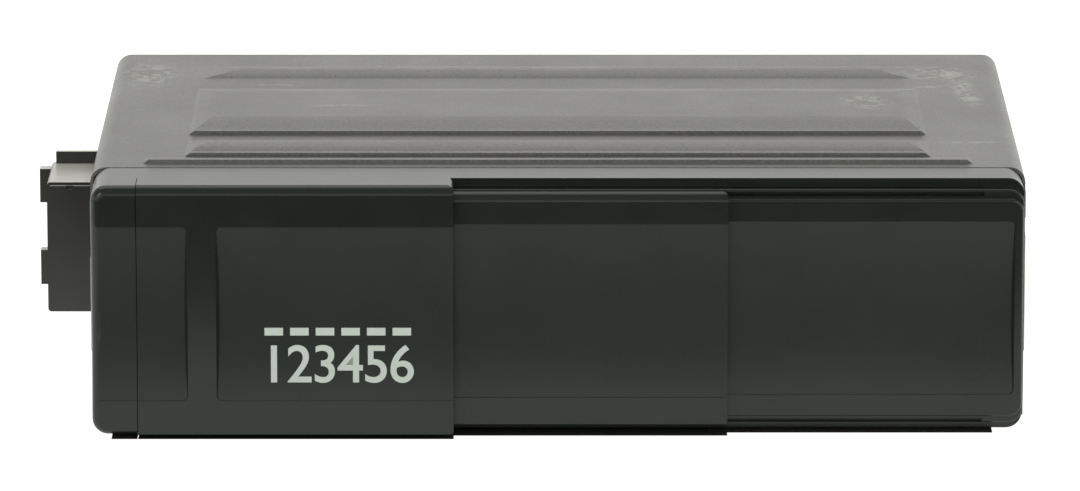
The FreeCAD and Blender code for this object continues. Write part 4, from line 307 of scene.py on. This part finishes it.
# %% Recipe for a moulded piece
def moulded(name, base, paler, roughness, ior, grain_mm=0.6, depth_mm=0.010, smear=0.07, painted_top_light=None, **more):
    """A moulded resin: two close colours, fine grain, a cloudy gloss, and a painted top light if it has a
    colour.
    """
    material, tree, spot = new_finish(name)
    cloud = add(tree, "TexNoise", Vector=spot, Scale=grain(18), Detail=4.0, Roughness=0.55)
    pits = add(tree, "TexNoise", Vector=spot, Scale=grain(grain_mm), Detail=2.0)
    wiped = add(tree, "TexNoise", Vector=spot, Scale=grain(12), Detail=1.0)
    share = add(tree, "MapRange", Value=cloud, From_Min=0.3, From_Max=0.7)
    colour = add(tree, "Mix", data_type="RGBA", Factor_Float=share, A_Color=base, B_Color=paler)
    if painted_top_light:
        # faces that look up are painted paler: a painted top light
        facing = add(tree, "SeparateXYZ", Vector=add(tree, "TexCoord").outputs["Normal"]).outputs["Z"]
        share = add(tree, "MapRange", Value=facing, From_Min=0.85, From_Max=0.97)
        colour = add(tree, "Mix", data_type="RGBA", Factor_Float=share, A_Color=colour, B_Color=painted_top_light)
    gloss = add(tree, "MapRange", Value=wiped, From_Min=0.3, From_Max=0.7, To_Min=roughness,
                To_Max=roughness + smear)
    relief = add(tree, "Bump", Height=pits, Distance=depth_mm * MM, Strength=0.6)
    shader = add(tree, "BsdfPrincipled", Base_Color=colour, Roughness=gloss, IOR=ior, Normal=relief, **more)
    add(tree, "OutputMaterial", Surface=shader)
    return material


# Black ABS on everything that shows at the front: a soft gloss that mirrors the floor as a grey veil.
finishes["front_plastic"] = moulded("moulded_abs_black", "#171d18", "#1c221d", 0.26, 1.53, smear=0.01,
                                    Specular_IOR_Level=0.38, Specular_Tint="#fafffa")
# Glass-filled polyester on the connector: the fibres make it duller than ABS, and its top is painted pale, a
# painted top light.
finishes["connector_plastic"] = moulded("glass_filled_polyester", "#22231d", "#282920", 0.28, 1.55,
                                        grain_mm=0.4, painted_top_light="#bcbcb4")
# Nylon dials, satin and slightly grey.
finishes["dial_plastic"] = moulded("moulded_nylon_dark", "#262725", "#2d2e2b", 0.45, 1.53)
print("plastics of the outside:", [finish.name for finish in finishes.values()][1:])

# %% Plastics and rubber of the inside
# Polystyrene is stiff and takes a clean gloss: the magazine is near black, its trays dark grey.
finishes["magazine_plastic"] = moulded("moulded_polystyrene_black", "#232528", "#2a2c2e", 0.34, 1.59)
finishes["tray_plastic"] = moulded("moulded_polystyrene_grey", "#43464a", "#4b4e51", 0.42, 1.59)
# The button is ABS in a mid grey, so that a finger finds it in the dark slot.
finishes["button_plastic"] = moulded("moulded_abs_grey", "#6a6c6e", "#727476", 0.40, 1.53)
# Natural acetal for gears and levers: milky, waxy and slightly translucent.
finishes["acetal"] = moulded("natural_acetal", "#d9d8cc", "#e2e1d7", 0.35, 1.48,
                             Subsurface_Weight=0.15, Subsurface_Scale=0.002)
# The turntable is polycarbonate, glossy black.
finishes["turntable_plastic"] = moulded("moulded_polycarbonate", "#161718", "#1d1e1f", 0.26, 1.58)
# Soft rubber on the dampers: matt, with a dusty bloom.
finishes["damper_rubber"] = moulded("soft_rubber", "#151515", "#232321", 0.72, 1.52,
                                    grain_mm=0.9, depth_mm=0.03, smear=0.12)
# Blank labels of satin polyester film, white-backed, a little yellowed.
finishes["label_film"] = moulded("satin_polyester_film", "#c4c4bd", "#cecdc4", 0.36, 1.57,
                                 grain_mm=1.2, depth_mm=0.004)
print(len(finishes), "finishes so far")

# %% [markdown]
# ## Metals
# The chassis is bright zinc-plated sheet, whose passivation leaves a faint yellow cloud over the lines of
# the rolling mill. Shafts are ground bright round their length, screws are blackened, motor cans are
# nickel-plated. A metal takes its colour from its reflection, so metallic is 1 and the IOR stays at its
# default. Mill and grinding lines are finer than a tenth of a millimetre, and are drawn about half a
# millimetre apart, so that they show.

# %% Recipe for a plated or ground metal
def lined_metal(name, base, bloom, roughness, line_mm=(30.0, 0.5, 0.5), cloud_mm=14.0):
    """A metal with fine lines along the axis whose line_mm is long, and a cloudy bloom."""
    material, tree, spot = new_finish(name)
    along = add(tree, "Mapping", Vector=spot, Scale=tuple(grain(length) for length in line_mm))
    lines = add(tree, "TexNoise", Vector=along, Scale=1.0, Detail=3.0, Roughness=0.6)
    cloud = add(tree, "TexNoise", Vector=spot, Scale=grain(cloud_mm), Detail=3.0)
    share = add(tree, "MapRange", Value=cloud, From_Min=0.35, From_Max=0.7)
    colour = add(tree, "Mix", data_type="RGBA", Factor_Float=share, A_Color=base, B_Color=bloom)
    gloss = add(tree, "MapRange", Value=lines, From_Min=0.3, From_Max=0.7, To_Min=roughness - 0.06,
                To_Max=roughness + 0.08)
    relief = add(tree, "Bump", Height=lines, Distance=0.004 * MM, Strength=0.5)
    shader = add(tree, "BsdfPrincipled", Base_Color=colour, Metallic=1.0, Roughness=gloss, Normal=relief)
    add(tree, "OutputMaterial", Surface=shader)
    return material


# The tub of the case: zinc plate, duller than the chassis because it is thicker and older.
finishes["case_zinc"] = lined_metal("zinc_plated_case_steel", "#a5a5a2", "#aaa8a0", 0.42)
finishes["chassis_zinc"] = lined_metal("bright_zinc_sheet", "#b4b6b6", "#bdb9a8", 0.33)
finishes["screw_steel"] = lined_metal("blackened_steel", "#3a3a3b", "#454443", 0.36,
                                      line_mm=(0.6, 0.6, 0.6), cloud_mm=3.0)
finishes["spring_steel"] = lined_metal("drawn_spring_wire", "#8f9092", "#9a9896", 0.30,
                                       line_mm=(0.4, 0.4, 0.4), cloud_mm=2.0)
finishes["polished_steel"] = lined_metal("ground_steel_rod", "#c2c2c2", "#cacac8", 0.16,
                                         line_mm=(0.4, 25.0, 0.4), cloud_mm=6.0)
finishes["motor_can"] = lined_metal("nickel_plated_can", "#b5b3ad", "#c0beb8", 0.24,
                                    line_mm=(0.5, 0.5, 20.0), cloud_mm=6.0)
finishes["contact_metal"] = lined_metal("tinned_brass_pin", "#c9b78a", "#cfc7ae", 0.25,
                                        line_mm=(0.4, 0.4, 0.4), cloud_mm=2.0)
# The pickup's sled is die-cast zinc, grey and slightly pocked, with no lines.
finishes["pickup_metal"] = lined_metal("die_cast_zinc", "#8f9192", "#9b9c9c", 0.45,
                                       line_mm=(0.8, 0.8, 0.8), cloud_mm=5.0)
print(len(finishes), "finishes so far")

# %% [markdown]
# ## Mirrored discs
# A disc is clear polycarbonate over a film of aluminium. Its spiral track, 1.6 thousandths of a millimetre
# wide, splits white light, so fans of colour spread from the hole. A real grating needs wave optics. Here
# soft fans of hue follow the angle round the hole over a mirror finish, with a plain hub and a lacquered
# rim. The turns of the track are drawn 0.8 mm apart, because the real ones would be lost.

# %% Aluminised polycarbonate
disc, tree, spot = new_finish("aluminised_polycarbonate")
low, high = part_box("disc_6")
DISC_MIDDLE = (low + high) / 2
HUB_END, TRACK_START, TRACK_END, RIM_START = 0.0225, 0.0229, 0.0584, 0.0587  # radii in metres
FANS, TURN_MM = 3.0, 0.8
offset = add(tree, "VectorMath", operation="SUBTRACT", Vector=spot, Vector_001=tuple(DISC_MIDDLE))
part = add(tree, "SeparateXYZ", Vector=offset).outputs
angle = add(tree, "Math", operation="ARCTAN2", Value=part["Y"], Value_001=part["X"])
flat = add(tree, "VectorMath", operation="MULTIPLY", Vector=offset, Vector_001=(1, 1, 0))
radius = add(tree, "VectorMath", operation="LENGTH", Vector=flat)
spread = add(tree, "Math", operation="MULTIPLY", Value=angle, Value_001=FANS)
fans = add(tree, "Math", operation="SINE", Value=spread)
hue = add(tree, "MapRange", Value=fans, From_Min=0.2, From_Max=1.0, To_Min=0.0, To_Max=0.8)
rainbow = add(tree, "CombineColor", mode="HSV", Red=hue, Green=0.40, Blue=0.88)
share = add(tree, "MapRange", interpolation_type="SMOOTHSTEP", Value=fans,
            From_Min=0.2, From_Max=0.7, To_Max=0.7)
silver = add(tree, "Mix", data_type="RGBA", Factor_Float=share, A_Color="#d2d4d8", B_Color=rainbow)
tracks = add(tree, "MapRange", Value=radius, From_Min=HUB_END, From_Max=TRACK_START)
face = add(tree, "Mix", data_type="RGBA", Factor_Float=tracks, A_Color="#b9bbbf", B_Color=silver)
edge = add(tree, "MapRange", Value=radius, From_Min=TRACK_END, From_Max=RIM_START)
face = add(tree, "Mix", data_type="RGBA", Factor_Float=edge, A_Color=face, B_Color="#c6c8cb")
turns = add(tree, "Math", operation="MULTIPLY", Value=radius, Value_001=2 * math.pi * grain(TURN_MM))
rings = add(tree, "Math", operation="SINE", Value=turns)
relief = add(tree, "Bump", Height=rings, Distance=0.0004 * MM, Strength=0.5)
shader = add(tree, "BsdfPrincipled", Base_Color=face, Metallic=1.0, Roughness=0.12, Coat_Weight=1.0,
             Coat_Roughness=0.03, Normal=relief)
add(tree, "OutputMaterial", Surface=shader)
finishes["disc_silver"] = disc
print(disc.name, len(tree.nodes), "nodes")

# %% [markdown]
# ## The circuit board
# The board is glass cloth in epoxy under green solder mask. Copper tracks show through the mask as paler
# green, and the cloth as a fine weave. The real tracks are about 0.3 mm wide, and are drawn a little
# coarser. Its chips are black epoxy with a matt speckle, drawn at half a millimetre so that it shows, and
# its capacitors wear dark sleeves under a pressed aluminium top.

# %% Solder mask
board, tree, spot = new_finish("glass_epoxy_board")
cells = add(tree, "TexVoronoi", distance="CHEBYCHEV", feature="F1", Vector=spot, Scale=grain(4.2))
track = add(tree, "MapRange", Value=cells, From_Min=0.30, From_Max=0.34)
weave = add(tree, "TexNoise", Vector=spot, Scale=grain(0.6), Detail=1.0)
green = add(tree, "Mix", data_type="RGBA", Factor_Float=weave, A_Color="#0d4520", B_Color="#155a2c")
green = add(tree, "Mix", data_type="RGBA", Factor_Float=track, A_Color=green, B_Color="#2c7a3d")
relief = add(tree, "Bump", Height=track, Distance=0.035 * MM, Strength=0.5)
shader = add(tree, "BsdfPrincipled", Base_Color=green, Roughness=0.28, IOR=1.55, Normal=relief)
add(tree, "OutputMaterial", Surface=shader)
finishes["circuit_board"] = board
print(board.name, len(tree.nodes), "nodes")

# %% Chips and capacitors
# Heights over the board where chips end, where sleeves start and end, and where pressed tops start.
CHIP_END, SLEEVE_START, SLEEVE_END, CAP_START = 0.0021, 0.0023, 0.0053, 0.00535
chips, tree, spot = new_finish("epoxy_and_sleeved_cans")
board_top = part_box("main_board")[1].z
above = add(tree, "SeparateXYZ", Vector=spot).outputs["Z"]
speckle = add(tree, "TexNoise", Vector=spot, Scale=grain(0.5), Detail=3.0)
sleeve = add(tree, "MapRange", Value=above,
             From_Min=board_top + CHIP_END, From_Max=board_top + SLEEVE_START)
colour = add(tree, "Mix", data_type="RGBA", Factor_Float=speckle, A_Color="#161718", B_Color="#26282a")
colour = add(tree, "Mix", data_type="RGBA", Factor_Float=sleeve, A_Color=colour, B_Color="#1b2438")
cap = add(tree, "MapRange", Value=above,
          From_Min=board_top + SLEEVE_END, From_Max=board_top + CAP_START)
colour = add(tree, "Mix", data_type="RGBA", Factor_Float=cap, A_Color=colour, B_Color="#bfc1c3")
relief = add(tree, "Bump", Height=speckle, Distance=0.01 * MM, Strength=0.5)
shader = add(tree, "BsdfPrincipled", Base_Color=colour, Metallic=cap, Roughness=0.42, Normal=relief)
add(tree, "OutputMaterial", Surface=shader)
finishes["board_parts"] = chips
print(chips.name, len(tree.nodes), "nodes")

# %% [markdown]
# ## The lens
# The pickup's lens is a clear moulded dome with a blooming layer against reflections, which looks violet to
# blue.

# %% Coated lens
lens, tree, spot = new_finish("bloomed_lens")
drift = add(tree, "TexNoise", Vector=spot, Scale=grain(3))
tint = add(tree, "Mix", data_type="RGBA", Factor_Float=drift, A_Color="#7a6bb8", B_Color="#4f6fc4")
shader = add(tree, "BsdfPrincipled", Base_Color=tint, Roughness=0.05, IOR=1.5, Transmission_Weight=0.6,
             Coat_Weight=1.0)
add(tree, "OutputMaterial", Surface=shader)
finishes["lens_glass"] = lens
print(lens.name, len(tree.nodes), "nodes")

# %% [markdown]
# ## Dressing the pieces
# The construction's record names a material slot for each piece. Each piece gets the finish of its slot, so
# a new piece in the construction is dressed without a change here.

# %% Every piece gets its finish
for subpart in frame["record"]["subparts"]:
    for slot in nodes[subpart["node"]].material_slots:
        slot.material = finishes[subpart["material_slot"]]

# %% [markdown]
# ## Printed numerals
# Small marks on such a case are pad-printed: a soft rubber pad lays a film of ink that follows a hollow
# surface. The marks are text outlines turned to meshes, a few hundredths of a millimetre thick. One
# function turns a line of text upright on any standing face, given the direction across it.

# %% Ink and flat marks
INK_THICK = 0.00004
NUMERAL_SHARE = 0.7  # of the type size, which is how tall a numeral stands
STROKE_GAIN = 0.012  # of a numeral's height, by which the ink fattens its strokes
HOLLOW_CUTS = range(8, 36)  # heights in mm at which a mark is cut, so that it can bend to a hollow
RIGHT, REAR, UP = Vector((1, 0, 0)), Vector((0, 1, 0)), Vector((0, 0, 1))
ink = moulded("pad_printing_ink", "#bcc6bd", "#c4cdc5", 0.5, 1.5, grain_mm=0.5, depth_mm=0.004)


def numeral(text, tall, middle, across=RIGHT):
    """A mesh of one line of numerals, as tall as given, on a standing face; its middle is the given point."""
    outline = bpy.data.curves.new("outline", "FONT")
    outline.body = text
    outline.size = tall / NUMERAL_SHARE
    outline.extrude = INK_THICK / 2
    outline.offset = tall * STROKE_GAIN
    outline.align_x, outline.align_y = "CENTER", "CENTER"
    drawn = bpy.data.objects.new("outline", outline)
    bpy.context.scene.collection.objects.link(drawn)
    bpy.context.view_layer.update()
    mesh = bpy.data.meshes.new_from_object(drawn.evaluated_get(bpy.context.evaluated_depsgraph_get()))
    bpy.data.objects.remove(drawn)
    out = across.cross(UP)
    turned = Matrix((across, UP, out)).transposed().to_4x4()
    mesh.transform(Matrix.Translation(Vector(middle) + out * INK_THICK / 2) @ turned)
    return mesh


def dash(start, end, wide, across=RIGHT):
    """A mesh of one straight printed dash between two points, with the thickness of ink."""
    along = (Vector(end) - Vector(start)).normalized()
    out = across.cross(UP)
    side = along.cross(out) * wide / 2
    corners = [Vector(start) - side, Vector(end) - side, Vector(end) + side, Vector(start) + side]
    mesh = bpy.data.meshes.new("dash")
    mesh.from_pydata([*corners, *(corner + out * INK_THICK for corner in corners)], [],
                     [(3, 2, 1, 0), (4, 5, 6, 7), (0, 1, 5, 4), (1, 2, 6, 5), (2, 3, 7, 6), (3, 0, 4, 7)])
    return mesh


def print_piece(name, meshes, body, shape=None):
    """Joins printed marks into one piece that rides on a body; shape may move each point onto a hollow."""
    work = bmesh.new()
    for mesh in meshes:
        work.from_mesh(mesh)
    bmesh.ops.remove_doubles(work, verts=work.verts, dist=1e-6)
    if shape:
        for height in HOLLOW_CUTS:
            bmesh.ops.bisect_plane(work, geom=work.verts[:] + work.edges[:] + work.faces[:], plane_no=UP,
                                   plane_co=(0, 0, height * MM))
        for vertex in work.verts:
            vertex.co.y += shape(vertex.co.z)
    bmesh.ops.recalc_face_normals(work, faces=work.faces)
    mesh = bpy.data.meshes.new(name)
    work.to_mesh(mesh)
    work.free()
    piece = bpy.data.objects.new(name, mesh)
    bpy.context.scene.collection.objects.link(piece)
    piece.data.materials.append(ink)
    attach(piece, body)
    print(name, [round(side / MM, 2) for side in piece.dimensions], "mm")
    return piece


print("ink", ink.name)

# %% [markdown]
# ## The marks on the outer door
# The outer door carries one printed mark on its right pad. Here it is plain numerals, one for each tray,
# each under a short dash. The pads are hollow: each is a shallow stretch of a wide cylinder that lies from
# left to right, so the marks are bent to it.

# %% Numerals and dashes on the door
PAD_MIDDLE, PAD_DEEP, PAD_RADIUS = 0.0359, 0.002, 0.1902  # where a pad is deepest, how deep, how curved


def hollow(z):
    """How far a pad lies behind the plane of its piece at one height."""
    return PAD_DEEP - PAD_RADIUS + math.sqrt(PAD_RADIUS ** 2 - (z - PAD_MIDDLE) ** 2)


TRAYS = 6
MARK_LEFT, MARK_RIGHT = -0.0833, -0.0402
NUMERAL_TALL, NUMERAL_Z = 0.0105, 0.0207
DASH_LONG, DASH_WIDE, DASH_Z = 0.0052, 0.0022, 0.0305
pitch = (MARK_RIGHT - MARK_LEFT) / TRAYS
marks = []
for tray in range(TRAYS):
    middle = MARK_LEFT + pitch * (tray + 0.5)
    marks.append(numeral(str(tray + 1), NUMERAL_TALL, (middle, front_y, NUMERAL_Z)))
    start = (middle - DASH_LONG / 2, front_y, DASH_Z)
    end = (middle + DASH_LONG / 2, front_y, DASH_Z)
    marks.append(dash(start, end, DASH_WIDE))
print_piece("door_numerals", marks, "outer_door", hollow)

# %% [markdown]
# ## A disc sign on the fixed panel
# The fixed panel shows a small sign of a disc, two plain rings, which tells what the changer takes. It is
# moulded with the panel, a tenth of a millimetre proud, and is made here as two thin rings bent to the
# hollow pad.

# %% Two rings
def ring(middle, inner, outer, proud, steps=72):
    """A mesh of a flat ring standing on a face that looks to the front."""
    points, faces = [], []
    for step in range(steps):
        turn = 2 * math.pi * step / steps
        for radius, depth in ((inner, 0.0), (outer, 0.0), (outer, -proud), (inner, -proud)):
            points.append((middle[0] + radius * math.cos(turn), middle[1] + depth,
                           middle[2] + radius * math.sin(turn)))
        here, there = 4 * step, 4 * ((step + 1) % steps)
        faces += [(here + side, here + (side + 1) % 4, there + (side + 1) % 4, there + side)
                  for side in range(4)]
    mesh = bpy.data.meshes.new("ring")
    mesh.from_pydata(points, [], faces)
    return mesh


RINGS = (0.0038, 0.0046), (0.0010, 0.0017)  # inner and outer radius of each
PROUD = 0.0001
SIGN_X, SIGN_Z = 0.1165, 0.0186
sign = (SIGN_X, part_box("fixed_panel")[0].y, SIGN_Z)
rings = print_piece("disc_sign", [ring(sign, inner, outer, PROUD) for inner, outer in RINGS], "case", hollow)
rings.data.materials[0] = finishes["front_plastic"]

# %% [markdown]
# ## Scales round the angle dials
# A changer stands level, slanted or upright, and the dial on each side is set to match, so that the
# floating deck hangs true. The scale is three ticks and the angles 0, 45 and 90, printed on the cover
# beside the dial.

# %% Ticks and angles
TICK_IN, TICK_OUT, TICK_WIDE, ANGLE_TALL = 0.0097, 0.0113, 0.0004, 0.0020
SCALE = (  # angle, direction and distance of its number from the dial's middle
    (0, 0, 0.0136), (45, 45, 0.0140), (90, 116, 0.0128),
)
cover_low, cover_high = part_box("top_cover")
dial_low, dial_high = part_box("angle_dial_right")
dial_y, dial_z = (dial_low.y + dial_high.y) / 2, (dial_low.z + dial_high.z) / 2


def beside_dial(face_x, upward, degrees, reach):
    """A point on a side of the cover, in a direction and at a distance from the dial's middle."""
    turn = math.radians(degrees)
    return (face_x, dial_y + reach * math.cos(turn), dial_z + upward * reach * math.sin(turn))


for side, face_x, across, upward in (("left", cover_low.x, -REAR, -1), ("right", cover_high.x, REAR, 1)):
    marks = []
    for angle, number_angle, reach in SCALE:
        start = beside_dial(face_x, upward, angle, TICK_IN)
        end = beside_dial(face_x, upward, angle, TICK_OUT)
        marks.append(dash(start, end, TICK_WIDE, across))
        middle = beside_dial(face_x, upward, number_angle, reach)
        marks.append(numeral(str(angle), ANGLE_TALL, middle, across))
    print_piece("dial_scale_" + side, marks, "case")
